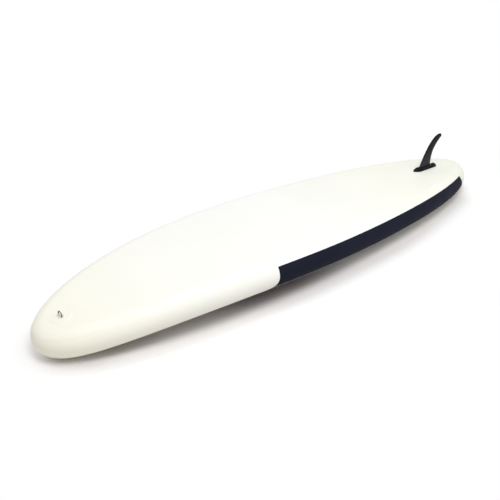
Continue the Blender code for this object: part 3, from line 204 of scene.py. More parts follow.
# Inflation valve: outlines of (radius, height from the deck skin); a band is (inside, low, outside, high).
# Flutes are (depth, count, outside this radius, above this height, below this height)
VALVE_STATION = BOARD_LENGTH - 0.25
VALVE_HOLE = 0.0218
VALVE_CUT = 0.01
VALVE_GASKET = (VALVE_HOLE, 0.0005, 0.0300, 0.0015)
VALVE_NUT = (VALVE_HOLE, -0.0093, 0.0290, -0.0033)
NUT_NOTCH_DEPTH = 0.0018
NUT_NOTCH_COUNT = 6
HOUSING_FLUTES = (0.00035, 60, 0.0300, 0.0022, 1.0)
LID_FLUTES = (0.0003, 36, 0.0225, -1.0, 0.0076)
VALVE_HOUSING = ((0.0175, 0.0048), (0.0175, -0.027), (0.0115, -0.027), (0.0115, -0.030), (0.0215, -0.030),
                 (0.0215, 0.0018), (0.0310, 0.0018), (0.0310, 0.0038), (0.0290, 0.0048), (0.0262, 0.0048),
                 (0.0256, 0.0043), (0.0245, 0.0043), (0.0239, 0.0048))
VALVE_HUB = (0.0032, -0.014, 0.005, -0.011)
VALVE_ARM = (0.0036, 0.0185, 0.0015)
VALVE_PLUNGER = ((0.0, -0.0329), (0.0145, -0.0329), (0.0145, -0.0304), (0.0028, -0.0304), (0.0028, -0.0045),
                 (0.0062, -0.0045), (0.0062, -0.0025), (0.0, -0.0025))
VALVE_LID = ((0.0, 0.0074), (0.0175, 0.0074), (0.0190, 0.0080), (0.0235, 0.0080), (0.0235, 0.0052),
             (0.0171, 0.0052), (0.0171, 0.0007), (0.0151, 0.0007), (0.0151, 0.0065))
LID_STEPS = 216
HOUSING_STEPS = 240
LID_GRIP = ((-0.0192, -0.0025, 0.0068), (0.0192, 0.0025, 0.0120))
SPRING_LOW = -0.0101
SPRING_HIGH = -0.0054
SPRING_RADIUS = 0.0044
SPRING_WIRE = 0.0006
SPRING_TURNS = 3.5
SPRING_STEPS = 112
SPRING_SECTION = 12
SPRING_END_SHARE = 0.6

# Fin, fin box and locking screw, in a frame at the middle of the box
FIN_BOX_FROM_TAIL = 0.335
FIN_BOX_LENGTH = 0.206
FIN_BOX_WIDTH = 0.051
FIN_BOX_HEIGHT = 0.015
FIN_BOX_NOSE = 0.040
FIN_BOX_RAMP = 0.036
FIN_BOX_REAR = 0.026
FIN_BOX_REAR_WIDTH_SHARE = 0.77
FIN_BOX_FLANGE = 0.006
FIN_BOX_FLANGE_THICKNESS = 0.003
FIN_BOX_SIDE_LEAN = 0.003
FIN_BOX_TIP_WIDTH = 0.006
FIN_BOX_TIP_HEIGHT_SHARE = 0.10
FIN_BOX_REAR_NARROWING = 0.50
FIN_BOX_REAR_LOWERING = 0.22
FIN_BOX_CORNER = 0.0009
FIN_BOX_TIP_EASE = ((0.0, 0.0006), (0.0004, 0.0001))
FIN_BOX_END_EASE = ((0.0002, 0.0003), (0.0, 0.0008))
BOX_START = -FIN_BOX_LENGTH / 2.0
BOX_END = FIN_BOX_LENGTH / 2.0
FIN_SLOT_START = 0.029
FIN_SLOT_WIDTH = 0.0096
FIN_SLOT_CHAMFER = 0.0005
FIN_CHANNEL_WIDTH = 0.015
FIN_CHANNEL_FLOOR = 0.0025
FIN_CHANNEL_HEIGHT = 0.006
FIN_FIT = 0.0003
FIN_FOOT_END = 0.006
FIN_FOOT_CORNER = 0.0005
FIN_ROOT_FROM_BOX_TIP = 0.047
FIN_ROOT_CHORD = 0.1065
FIN_ROOT_FLARE = 1.12
FIN_ROOT_SUNK = 0.002
FIN_HEIGHT = 0.190
FIN_RAKE = 0.167
FIN_TIP_CHORD = 0.0250
FIN_TIP_DROP = 0.0190
FIN_ROOT_THICKNESS = 0.0082
FIN_TIP_THICKNESS = 0.0034
FIN_EDGE_THICKNESS = 0.0012
FIN_LEADING_PULLS = ((0.131, 0.276), (0.527, 0.997))
FIN_TRAILING_PULLS = ((0.03, 0.41), (0.125, 0.58))
FIN_TIP_PULLS = ((0.0125, 0.0022), (0.0020, 0.0125))
FIN_TIP_SHARES = (0.06, 0.12, 0.18, 0.24, 0.30, 0.36, 0.41, 0.45, 0.48)
FIN_STEPS = 46
FOIL_STEPS = 22
FIN_HEEL_LENGTH = 0.032
FIN_HEEL_HEIGHT = 0.0035
FIN_HEEL_WIDTH = 0.016
FIN_HEEL_ROUNDNESS = 0.6
FIN_HEEL_SUNK = 0.0004
LOCK_SCREW_FROM_BOX_TIP = 0.037
LOCK_SCREW_RADIUS = 0.003
LOCK_SCREW_PLAY = 0.0004
LOCK_KNOB_RADIUS = 0.0068
LOCK_KNOB_HEIGHT = 0.0045
LOCK_KNOB_CHAMFER = 0.0011
LOCK_KNOB_HOLLOW_RADII = (0.0034, 0.0040)
LOCK_KNOB_HOLLOW = 0.0005
LOCK_KNOB_FLUTES = (0.0003, 20, 0.0060)
LOCK_SLOT_LENGTH = 0.010
LOCK_SLOT_WIDTH = 0.0012
LOCK_SLOT_DEPTH = 0.0016
FOOT_TOP = FIN_BOX_HEIGHT + FIN_FIT

# Floor: greys of the shade outwards from the contact line, and where along the board they change
FLOOR_BOUNCE = (0.805, 0.785, 0.742)
FLOOR_GLOW = 0.05
FLOOR_LEVEL = -0.0003
FLOOR_SIZE = 30.0
CONTACT_REACH = 0.15
CONTACT_STOPS = (0.27, 0.33, 0.42, 0.55, 0.68, 0.85, 0.95)
MIDDLE_SHADE = (0.20, 0.35, 0.63, 0.65, 0.71, 0.89, 0.96)
NOSE_SHADE = (0.50, 0.67, 0.74, 0.72, 0.79, 0.88, 0.95)
NOSE_END_SHADE = (0.66, 0.72, 0.65, 0.61, 0.75, 0.88, 0.95)
TAIL_SHADE = (0.70, 0.91, 0.82, 0.65, 0.75, 0.92, 0.98)
TAIL_END_SHADE = (0.80, 0.78, 0.72, 0.74, 0.87, 0.99, 1.00)
SHADE_TINT = (0.050, -0.028, -0.032)
SHADE_CHANGES = ((-0.40, -0.95, NOSE_SHADE), (-1.20, -1.38, NOSE_END_SHADE), (-0.20, 0.20, TAIL_SHADE),
                 (0.50, 1.00, TAIL_END_SHADE))
# In front of the nose the floor's painted shade is lightened towards plain white, by up to NOSE_FRONT_SHARE.
NOSE_FRONT_WAY = (-1.0, 0.6, 0.0)
NOSE_FRONT_FROM = 1.40
NOSE_FRONT_TO = 1.62
NOSE_FRONT_SHARE = 0.64
FLOOR_REACH = (1.72, 0.64)
FLOOR_SHIFT = 0.18
FLOOR_FADE = 1.5

# Light, and the camera in design space with the photograph's frame
WORLD_LIGHT = 0.486
KEY_POWER = 397.0
KEY_SIZE = 4.0
KEY_PLACE = (-0.7, -2.9, 7.4)
CAMERA_PLACE = (-1.5149, -3.0488, 1.9325)
CAMERA_YAW = 0.7397
CAMERA_PITCH = -0.4477
CAMERA_ROLL = 0.0206
FOCAL_PIXELS = 871.8
FRAME_PIXELS = 500
SENSOR_WIDTH_MM = 36.0

# Patterns, and the white fabric's tint along the board, as (x in the world, colour)
WAVE_PERIOD = math.pi / 10.0
DIAMOND_PITCH = 0.013
DIAMOND_TURN = math.radians(29.0)
FINE_THREAD = 0.0007
# The white fabric's tint is whiter in the middle, yellower and a little darker towards both ends.
ALONG_BOARD_TINTS = ((-1.45, (0.995, 0.975, 0.865)), (-0.90, (0.993, 0.989, 0.935)), (0.0, (1.0, 1.0, 0.985)),
             (0.70, (1.0, 1.0, 0.925)), (1.40, (0.968, 0.972, 0.885)))

# Mesh resolution
NOSE_STEPS = 84
TAIL_STEPS = 72
STATION_GATHER = 1.35
SHOULDER_STEPS = 12
RAIL_STEPS = 26
FLAT_STEPS = 20
ROUND_STEPS = 72
STATION_FROM_BREAK = 0.004


# Board shape

def centre_height(x):
    ahead = max(0.0, ROCKER_LOW_POINT - x) / ROCKER_LOW_POINT
    behind = max(0.0, x - ROCKER_LOW_POINT) / (BOARD_LENGTH - ROCKER_LOW_POINT)
    return -NOSE_ROCKER * ahead ** NOSE_ROCKER_POWER - TAIL_ROCKER * behind ** TAIL_ROCKER_POWER


def surface_angle(x):
    tail_run = BOARD_LENGTH - ROCKER_LOW_POINT
    ahead = max(0.0, ROCKER_LOW_POINT - x) / ROCKER_LOW_POINT
    behind = max(0.0, x - ROCKER_LOW_POINT) / tail_run
    nose_slope = NOSE_ROCKER * NOSE_ROCKER_POWER / ROCKER_LOW_POINT * ahead ** (NOSE_ROCKER_POWER - 1)
    tail_slope = TAIL_ROCKER * TAIL_ROCKER_POWER / tail_run * behind ** (TAIL_ROCKER_POWER - 1)
    return math.atan(nose_slope - tail_slope)


def bend(x, y, h):
    angle = surface_angle(x)
    return Vector((x - h * math.sin(angle), y, centre_height(x) + h * math.cos(angle)))


def kick_crest():
    return bend(KICK_START + KICK_RAMP, 0.0, -RAIL_RADIUS - KICK_HEIGHT)


def resting_matrix():
    """Turns the line through the nose and the kick pad's crest level, and puts it on z = 0."""
    gap = bend(TIP_STATION, 0.0, 0.0) - kick_crest()
    angle = math.asin(RAIL_RADIUS / math.hypot(gap.x, gap.z)) - math.atan2(gap.z, -gap.x)
    turn = Matrix.Rotation(angle, 4, "Y")
    nose = turn @ bend(TIP_STATION, 0.0, 0.0)
    tail = turn @ bend(END_STATION, 0.0, 0.0)
    floor = turn @ kick_crest()
    return Matrix.Translation((-(nose.x + tail.x) / 2.0, 0.0, -floor.z)) @ turn


REST = resting_matrix()


def on_board(x, y, side, height):
    """A point at this height over the hull's or the deck's face, in the world."""
    return REST @ bend(x, y, side * (RAIL_RADIUS + height))


def skin_frame(x, y, side, lift=0.0):
    """Local frame on the outer skin, in the world: x towards the tail, z away from the board."""
    angle = surface_angle(x)
    along = Vector((math.cos(angle), 0.0, math.sin(angle)))
    away = Vector((-math.sin(angle), 0.0, math.cos(angle))) * side
    local = Matrix((along, away.cross(along), away)).transposed().to_4x4()
    local.translation = bend(x, y, side * (RAIL_RADIUS + lift))
    return REST @ local


def spine_station(x):
    """Half-width of the rail's centre line at x, and its outward direction in plan."""
    crown = BOARD_WIDTH / 2.0 - RAIL_RADIUS
    if x <= WIDEST_FROM_NOSE:
        run = WIDEST_FROM_NOSE - TIP_STATION
        power, fullness, towards = NOSE_ROUNDNESS, NOSE_FULLNESS, 1.0
    else:
        run = END_STATION - WIDEST_FROM_NOSE
        power, fullness, towards = TAIL_ROUNDNESS, TAIL_FULLNESS, -1.0
    share = abs(x - WIDEST_FROM_NOSE) / run
    rest = 1.0 - share ** power
    if rest < 1e-6:
        return 0.0, -towards, 0.0
    width = crown * rest ** fullness
    slope = towards * crown * fullness * rest ** (fullness - 1.0) * power * share ** (power - 1.0) / run
    size = math.hypot(slope, 1.0)
    return width, -slope / size, 1.0 / size


def rail_point(x, side, angle, radius):
    """A point on the round rail, in the world; angle 0 is its hull side, and pi is its deck side."""
    width, out_x, out_y = spine_station(x)
    reach = radius * math.sin(angle)
    return REST @ bend(x + out_x * reach, side * (width + out_y * reach), radius * math.cos(angle))


def spread(first, last, steps):
    return [first + (last - first) * k / steps for k in range(steps + 1)]


def turns(steps):
    """Angles of one full turn."""
    return [2.0 * math.pi * k / steps for k in range(steps)]


def smooth(share):
    share = min(1.0, max(0.0, share))
    return share * share * (3.0 - 2.0 * share)


def fine_stations():
    """Places along the board, closer together at both tips."""
    def gathered(run, steps):
        return [run * math.cos(math.pi / 2.0 * (step / steps) ** STATION_GATHER) for step in range(steps + 1)]

    nose = [WIDEST_FROM_NOSE - ahead for ahead in gathered(WIDEST_FROM_NOSE - TIP_STATION, NOSE_STEPS)]
    tail = [WIDEST_FROM_NOSE + behind for behind in gathered(END_STATION - WIDEST_FROM_NOSE, TAIL_STEPS)]
    return nose + tail[-2::-1]


STATIONS = fine_stations()


# Pieces

def placed(name, data):
    """Adds an object to the scene."""
    item = bpy.data.objects.new(name, data)
    bpy.context.scene.collection.objects.link(item)
    return item


def mesh_of(name, bm):
    """Ends a scratch form as a mesh."""
    mesh = bpy.data.meshes.new(name)
    bm.to_mesh(mesh)
    bm.free()
    return mesh


def add_piece(name, data, look, replaced, body):
    """Adds a visible piece that rides a body, wears a look and stands for a construction piece."""
    slot, material = look
    data.materials.append(material)
    piece = placed(name, data)
    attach(piece, body)
    if replaced:
        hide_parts(replaced)
    return piece


def mesh_piece(name, bm, look, replaced=None, body="board", smooth_angle=35.0):
    bmesh.ops.recalc_face_normals(bm, faces=bm.faces)
    mesh = mesh_of(name, bm)
    mesh.shade_smooth()
    mesh.set_sharp_from_angle(angle=math.radians(smooth_angle))
    return add_piece(name, mesh, look, replaced, body)


def bridge(bm, first, second, closed=True):
    """Faces between two rows of vertices; a row of one vertex is a pole."""
    count = max(len(first), len(second))
    for k in range(count if closed else count - 1):
        ends = (k, (k + 1) % count)
        corners = [first[n % len(first)] for n in ends] + [second[n % len(second)] for n in reversed(ends)]
        corners = list(dict.fromkeys(corners))
        if len(corners) > 2:
            bm.faces.new(corners)


def loft(bm, rows, closed=True, capped=True):
    """Skins rows of points in the world; closed rows are rings, and caps shut the first and the last."""
    rings = [[bm.verts.new(point) for point in row] for row in rows]
    for ring, following in zip(rings, rings[1:]):
        bridge(bm, ring, following, closed)
    if capped:
        bm.faces.new(rings[0])
        bm.faces.new(rings[-1])
    return rings


def lofted(name, rows, look, replaced, body="board", smooth_angle=35.0):
    """A closed piece over rings of points in the world."""
    bm = bmesh.new()
    loft(bm, rows)
    return mesh_piece(name, bm, look, replaced, body, smooth_angle)


def rectangle(left, low, right, high):
    return [(left, low), (right, low), (right, high), (left, high)]


def superellipse(angle, power):
    """A point of a rounded square; power 1 is a circle, and less is squarer."""
    across, up = math.cos(angle), math.sin(angle)
    return math.copysign(abs(across) ** power, across), math.copysign(abs(up) ** power, up)


def rounded(points, radius, closed=True, steps=3):
    """A polyline with its corners eased by short curves."""
    points = [Vector(point) for point in points]
    result = []
    for k, here in enumerate(points):
        if not closed and k in (0, len(points) - 1):
            result.append(here)
            continue
        before = points[k - 1] - here
        after = points[(k + 1) % len(points)] - here
        first = here + before.normalized() * min(radius, before.length * 0.45)
        last = here + after.normalized() * min(radius, after.length * 0.45)
        for share in spread(0.0, 1.0, steps):
            result.append(first * (1.0 - share) ** 2 + here * 2.0 * share * (1.0 - share) + last * share ** 2)
    return result


def turned(bm, local, profile, steps=ROUND_STEPS, closed=True, reach_at=None):
    """Turns (radius, z) points round the frame's z; reach_at(radius, z, angle) may ripple the radius."""
    rows = []
    for radius, z in profile:
        row = []
        for angle in turns(steps)[:1 if radius < 1e-9 else steps]:
            reach = reach_at(radius, z, angle) if reach_at else radius
            row.append(local @ Vector((reach * math.cos(angle), reach * math.sin(angle), z)))
        rows.append(row)
    rings = loft(bm, rows, capped=False)
    if closed:
        bridge(bm, rings[-1], rings[0])


def milled(depth, count, inner, low, high):
    """Flutes round a rim, for turned(): only outside this radius and between these heights."""
    def reach_at(radius, z, angle):
        if radius > inner and low < z < high:
            return radius - depth * (1.0 + math.cos(count * angle))
        return radius
    return reach_at


def block(bm, local, low, high, edge=0.0004):
    """A bar with eased edges between two corners in a local frame."""
    middle = (Vector(low) + Vector(high)) / 2.0
    outline = rounded(rectangle(low[0], low[1], high[0], high[1]), edge * 2.0)
    rows = []
    for z, inset in ((low[2], edge), (low[2] + edge, 0.0), (high[2] - edge, 0.0), (high[2], edge)):
        rows.append([local @ Vector((p.x - math.copysign(inset, p.x - middle.x),
                                     p.y - math.copysign(inset, p.y - middle.y), z)) for p in outline])
    loft(bm, rows)


def carve(piece, bm):
    """Cuts a piece with a scratch form, which is used up."""
    bmesh.ops.recalc_face_normals(bm, faces=bm.faces)
    cutter = placed("scratch", mesh_of("scratch", bm))
    modifier = piece.modifiers.new("carve", "BOOLEAN")
    modifier.operation = "DIFFERENCE"
    modifier.solver = "EXACT"
    modifier.object = cutter
    shaped = piece.evaluated_get(bpy.context.evaluated_depsgraph_get())
    mesh = bpy.data.meshes.new_from_object(shaped)
    piece.modifiers.clear()
    piece.data = mesh
    bpy.data.objects.remove(cutter, do_unlink=True)


def drill(piece, local, radius, low, high, steps):
    """Bores a round hole along the frame's z."""
    bm = bmesh.new()
    turned(bm, local, [(0.0, low), (radius, low), (radius, high), (0.0, high)], steps, False)
    carve(piece, bm)


def add_stitches(name, look, place, runs, pitch=STITCH_PITCH, radius=STITCH_RADIUS):
    """Short raised threads along straight runs from (u, v) to (u, v); place(u, v, height) gives the world."""
    bm = bmesh.new()
    for start, end in runs:
        start, end = Vector(start), Vector(end)
        count = max(1, round((end - start).length / pitch))
        along = (end - start) / count
        across = Vector((-along.y, along.x)).normalized()
        for k in range(count):
            rows = []
            for share, lift in STITCH_BULGE:
                centre = start + along * (k + share)
                row = []
                for angle in turns(6):
                    side = centre + across * radius * math.cos(angle)
                    row.append(place(side.x, side.y, radius * (lift + math.sin(angle))))
                rows.append(row)
            loft(bm, rows)
    mesh_piece(name, bm, look)


# Shader nodes

def set_inputs(node, inputs):
    """Gives a node's sockets their values, or links them to other nodes' outputs."""
    for key, value in inputs.items():
        if isinstance(value, bpy.types.NodeSocket):
            node.id_data.links.new(value, node.inputs[key])
        else:
            node.inputs[key].default_value = value


def add_node(tree, kind, inputs, output=0, **settings):
    """Adds a node with its settings and inputs, and returns one of its outputs."""
    node = tree.nodes.new("ShaderNode" + kind)
    for key, value in settings.items():
        setattr(node, key, value)
    set_inputs(node, inputs)
    return node.outputs[output]


def new_material(name):
    material = bpy.data.materials.new(name)
    material.use_nodes = True
    return material, material.node_tree, material.node_tree.nodes["Principled BSDF"]


def object_place(tree, scale=(1.0, 1.0, 1.0), turn=(0.0, 0.0, 0.0)):
    """Object coordinates, in metres, stretched and turned."""
    place = add_node(tree, "TexCoord", {}, "Object")
    return add_node(tree, "Mapping", {"Vector": place, "Scale": scale, "Rotation": turn})


def along_axis(tree, axis):
    return add_node(tree, "SeparateXYZ", {"Vector": object_place(tree)}, axis)


def clouds(tree, scale, detail=3.0, place=None):
    inputs = {"Vector": place or object_place(tree), "Scale": scale, "Detail": detail}
    return add_node(tree, "TexNoise", inputs, "Fac")


def waves(tree, place, scale, direction):
    return add_node(tree, "TexWave", {"Vector": place, "Scale": scale}, "Fac", bands_direction=direction)


def combined(tree, operation, first, second):
    return add_node(tree, "Math", {0: first, 1: second}, operation=operation)


def weave(tree, scale, *directions):
    """Two crossing waves, as of warp and weft."""
    place = object_place(tree)
    return combined(tree, "MULTIPLY", *(waves(tree, place, scale, direction) for direction in directions))


def share_between(tree, value, start, end, interpolation="LINEAR", full=1.0):
    inputs = {"Value": value, "From Min": start, "From Max": end, "To Max": full}
    return add_node(tree, "MapRange", inputs, "Result", interpolation_type=interpolation)


def blended(tree, share, first, second, blend="MIX"):
    inputs = {"Factor": share, "A": first, "B": second}
    return add_node(tree, "Mix", inputs, "Result", data_type="RGBA", blend_type=blend)


def mixed_shader(tree, share, first, second):
    return add_node(tree, "MixShader", {"Fac": share, 1: first, 2: second})


def either_ray(tree, *kinds):
    """1 for rays of any of these kinds."""
    share, *others = [add_node(tree, "LightPath", {}, f"Is {kind} Ray") for kind in kinds]
    for other in others:
        share = combined(tree, "MAXIMUM", share, other)
    return share


def ramp(tree, source, stops):
    """The colour at a value between stops of (position, colour)."""
    colour_output = add_node(tree, "ValToRGB", {"Fac": source}, "Color")
    elements = colour_output.node.color_ramp.elements
    while len(elements) < len(stops):
        elements.new(0.5)
    for element, (position, colour) in zip(elements, stops):
        element.position = position
        element.color = opaque(colour)
    return colour_output


def bumps(tree, layers):
    """Bumps on bumps: each layer is (height output, strength, distance in metres)."""
    inputs = {}
    for height, strength, distance in layers:
        inputs.update({"Height": height, "Strength": strength, "Distance": distance})
        inputs["Normal"] = add_node(tree, "Bump", inputs)
    return inputs["Normal"]


def grey(value):
    return (value, value, value)


def scaled(colour, factor):
    return tuple(min(1.0, part * factor) for part in colour)


def opaque(colour):
    return (*colour, 1.0)


# Materials

def coated_fabric(name, colour, roughness, mottling, scuff, shine=0.5, along=()):
    """Coated drop-stitch fabric: fine emboss, faint base weave, soft mottling and scuffs.

    along is a list of (x, colour) that tints the fabric from nose to tail."""
    material, tree, shader = new_material(name)
    cloudy = clouds(tree, 3.0, 4.0)
    tone = ramp(tree, cloudy, [(0.3, scaled(colour, 1.0 - mottling)), (0.7, scaled(colour, 1.0 + mottling))])
    if along:
        share = share_between(tree, along_axis(tree, "X"), -BOARD_LENGTH / 2.0, BOARD_LENGTH / 2.0)
        tint = ramp(tree, share, [(x / BOARD_LENGTH + 0.5, shade) for x, shade in along])
        tone = blended(tree, 1.0, tone, tint, "MULTIPLY")
    streaks = clouds(tree, 14.0, 8.0, object_place(tree, (0.5, 2.2, 2.2)))
    worn = ramp(tree, streaks, [(0.62, grey(0.0)), (0.80, grey(1.0))])
    worn_tone = scaled(colour, 2.2 if max(colour) < 0.2 else 0.80)
    gloss = [(0.3, grey(roughness - 0.05)), (0.7, grey(roughness + 0.06))]
    set_inputs(shader, {
        "Base Color": blended(tree, combined(tree, "MULTIPLY", worn, scuff), tone, opaque(worn_tone)),
        "Specular IOR Level": shine,
        "Roughness": ramp(tree, clouds(tree, 9.0, 5.0), gloss),
        "Normal": bumps(tree, [(weave(tree, 190.0, "X", "Y"), 0.12, 0.0002),
                               (clouds(tree, 950.0, 2.0), 0.15, 0.0002), (cloudy, 0.15, 0.002)])})
    return material


def moulded_plastic(name, colour, roughness, grain=700.0, shine=0.5, low_painted_light=None):
    """Moulded plastic with a fine spark-eroded grain, polished wear and, if asked, painted light: a paler
    colour low down.

    low_painted_light is (colour, height where it is full, height where it ends): painted light that makes the
    lower part paler."""
    material, tree, shader = new_material(name)
    tone = ramp(tree, clouds(tree, 30.0, 4.0), [(0.3, scaled(colour, 0.85)), (0.75, scaled(colour, 1.2))])
    if low_painted_light:
        lit_colour, full, end = low_painted_light
        # Painted light: the colour turns paler towards the bottom, standing in for a more brightly lit lower
        # blade.
        low_lit_share = share_between(tree, along_axis(tree, "Z"), end, full, "SMOOTHSTEP")
        tone = blended(tree, low_lit_share, tone, opaque(lit_colour))
    gloss = [(0.3, grey(roughness - 0.06)), (0.75, grey(roughness + 0.08))]
    set_inputs(shader, {
        "Base Color": tone,
        "Specular IOR Level": shine,
        "Roughness": ramp(tree, clouds(tree, 60.0, 6.0), gloss),
        "Normal": bumps(tree, [(clouds(tree, grain), 0.18, 0.0003)])})
    return material


def woven_tape(name, colour, pitch=0.0016, gap_tone=0.6):
    """Webbing: a fine herringbone from two crossing waves, with fuzzy fibre noise."""
    material, tree, shader = new_material(name)
    crossed = weave(tree, WAVE_PERIOD / pitch, "DIAGONAL", "Y")
    set_inputs(shader, {
        "Base Color": ramp(tree, crossed, [(0.0, scaled(colour, gap_tone)), (0.6, scaled(colour, 1.15))]),
        "Roughness": 0.8,
        "Sheen Weight": 0.25,
        "Normal": bumps(tree, [(crossed, 0.6, 0.0005), (clouds(tree, 1500.0, 2.0), 0.25, 0.0002)])})
    return material


def foam(name, colour, diamond_pitch=None):
    """Closed-cell foam with a brushed face: fine pores, faint brush lines and, if asked, pressed diamonds
    whose lines are darkened with painted shade.
    """
    material, tree, shader = new_material(name)
    tone = ramp(tree, clouds(tree, 12.0, 4.0), [(0.3, scaled(colour, 0.86)), (0.7, scaled(colour, 1.12))])
    pores = add_node(tree, "TexVoronoi", {"Vector": object_place(tree), "Scale": 650.0}, "Distance")
    brushed = clouds(tree, 90.0, 6.0, object_place(tree, (1.0, 8.0, 8.0)))
    layers = [(pores, 0.35, 0.0005), (brushed, 0.25, 0.0008)]
    if diamond_pitch:
        lines = []
        for turn in (DIAMOND_TURN, -DIAMOND_TURN):
            place = object_place(tree, turn=(0.0, 0.0, turn))
            line = waves(tree, place, WAVE_PERIOD / diamond_pitch, "Y")
            lines.append(ramp(tree, line, [(0.04, grey(0.0)), (0.22, grey(1.0))]))
        pressed_and_shaded = combined(tree, "MINIMUM", *lines)
        layers.append((pressed_and_shaded, 0.7, 0.0009))
        # The pressed lines are a real bump; their darker colour is painted shade in the recess.
        tone = blended(tree, pressed_and_shaded, opaque(scaled(colour, 0.60)), tone)
    set_inputs(shader, {
        "Base Color": tone,
        "Roughness": 0.88,
        "Sheen Weight": 0.1,
        "Normal": bumps(tree, layers)})
    return material


def polished_steel(name, bright=0.60):
    material, tree, shader = new_material(name)
    cloudy = clouds(tree, 220.0, 5.0)
    scratches = clouds(tree, 400.0, 3.0, object_place(tree, (1.0, 6.0, 1.0)))
    set_inputs(shader, {
        "Base Color": ramp(tree, cloudy, [(0.3, grey(bright * 0.85)), (0.75, grey(bright * 1.05))]),
        "Roughness": ramp(tree, cloudy, [(0.3, grey(0.16)), (0.75, grey(0.30))]),
        "Metallic": 1.0,
        "Normal": bumps(tree, [(scratches, 0.08, 0.0002)])})
    return material


# Looks: a construction slot and the material that a piece of it wears

WHITE = ("white_vinyl", coated_fabric(
    "white_vinyl_look", (0.940, 0.940, 0.930), 0.46, 0.012, 0.05, 0.28, ALONG_BOARD_TINTS))
WHITE_WEBBING = ("white_vinyl", woven_tape("white_webbing_look", (0.88, 0.88, 0.82), gap_tone=0.88))
WHITE_THREAD = ("white_vinyl", woven_tape("white_thread_look", (0.80, 0.80, 0.75), FINE_THREAD))
NAVY = ("navy_vinyl", coated_fabric("navy_vinyl_look", (0.0130, 0.0148, 0.0272), 0.58, 0.10, 0.10, 0.03))
DARK = ("dark_vinyl", coated_fabric("dark_vinyl_look", (0.020, 0.021, 0.030), 0.45, 0.10, 0.10))
BASE_CLOTH = ("core_fabric", woven_tape("core_fabric_look", (0.72, 0.72, 0.66), 0.0012))
FOAM = ("deck_foam", foam("deck_foam_look", (0.085, 0.115, 0.175), DIAMOND_PITCH))
KICK_FOAM = ("deck_foam", foam("kick_foam_look", (0.070, 0.096, 0.150)))
CUT_FOAM = ("deck_foam", foam("cut_foam_look", (0.235, 0.280, 0.345)))
GRIP_FOAM = ("deck_foam", foam("grip_foam_look", (0.025, 0.028, 0.036)))
WEBBING = ("webbing", woven_tape("webbing_look", (0.020, 0.020, 0.026)))
THREAD = ("webbing", woven_tape("thread_look", (0.060, 0.062, 0.075), FINE_THREAD))
STEEL = ("stainless_steel", polished_steel("stainless_steel_look"))
# Painted shade: steel with a darker colour that stands in for the tow ring's dark reflections.
DARKENED_STEEL = ("stainless_steel", polished_steel("dark_reflection_steel_look", 0.16))
VALVE_PLASTIC = ("valve_plastic", moulded_plastic("valve_plastic_look", (0.035, 0.036, 0.042), 0.42))
RUBBER = ("seal_rubber", moulded_plastic("seal_rubber_look", (0.022, 0.022, 0.023), 0.70, 1200.0))
FIN_PLASTIC = ("fin_plastic", moulded_plastic(
    "fin_plastic_look", (0.0050, 0.0066, 0.0090), 0.36, 500.0, 0.07))
# The blade's paler colour low down is painted light.
BLADE_PLASTIC = ("fin_plastic", moulded_plastic(
    "fin_blade_look", (0.0085, 0.0105, 0.0140), 0.40, 500.0, 0.06, ((0.030, 0.034, 0.042), 0.205, 0.300)))
SLOT_MATERIALS = dict((
    WHITE, NAVY, BASE_CLOTH, FOAM, DARK, WEBBING, STEEL, VALVE_PLASTIC, RUBBER, FIN_PLASTIC))


# Rail breaks

def break_shift(angle, slant, corner):
    in_band = min(angle, DECK_SEAM_ANGLE)
    below_hull = max(0.0, in_band - HULL_SEAM_ANGLE) * RAIL_RADIUS
    above_deck = (DECK_SEAM_ANGLE - in_band) * RAIL_RADIUS
    inside = max(0.0, corner - above_deck)
    return slant * below_hull - corner + math.sqrt(corner * corner - inside * inside)


def nose_break(angle):
    return NOSE_BREAK + break_shift(angle, NOSE_BREAK_SLANT, NOSE_BREAK_CORNER)


def tail_break(angle):
    return TAIL_BREAK + break_shift(angle, TAIL_BREAK_SLANT, TAIL_BREAK_CORNER)


# Hull and deck sheets

def lap_lift(distance, lift):
    """Height of a sheet above the rail at this distance inside its glued edge."""
    return lift * (1.0 - smooth((distance - LAP_FLAT) / LAP_BLEND))


def sheet_lift(x, seam_angle):
    """Lift of a sheet's glued edge, which climbs onto the ends of the wraps at the rail breaks."""
    from_break = min(abs(x - nose_break(seam_angle)), abs(x - tail_break(seam_angle)))
    return SHEET_LIFT + lap_lift(from_break, WRAP_LIFT)


def sheet_face(bm, side, seam_angle, inset):
    """One face of a sheet, inset into the board: rings over the shoulder, then the flat; returns its edge."""
    columns = [(x, STARBOARD) for x in STATIONS] + [(x, PORT) for x in reversed(STATIONS[1:-1])]
    rows = []
    for angle in spread(0.0 if side == HULL else math.pi, seam_angle, SHOULDER_STEPS):
        from_edge = abs(seam_angle - angle) * RAIL_RADIUS
        row = []
        for x, board_side in columns:
            lift = lap_lift(from_edge, sheet_lift(x, seam_angle))
            row.append(rail_point(x, board_side, angle, RAIL_RADIUS - inset + lift))
        rows.append(row)
    rings = loft(bm, rows, capped=False)
    rim = rings[0]
    last = len(STATIONS) - 1
    rows = [rim[:1]]
    for k in range(1, last):
        width = spine_station(STATIONS[k])[0]
        inner = [bm.verts.new(on_board(STATIONS[k], share * width, side, -inset))
                 for share in spread(-1.0, 1.0, FLAT_STEPS)[1:-1]]
        rows.append([rim[k]] + inner + [rim[-k]])
    rows.append([rim[last]])
    for row, following in zip(rows, rows[1:]):
        bridge(bm, row, following, False)
    return rings[-1]


def make_sheet(name, replaced, side, seam_angle):
    bm = bmesh.new()
    outer, inner = (sheet_face(bm, side, seam_angle, inset) for inset in (0.0, SHEET_THICKNESS))
    bridge(bm, outer, inner)
    return mesh_piece(name, bm, WHITE, replaced)


# Wraps and panels round the rail

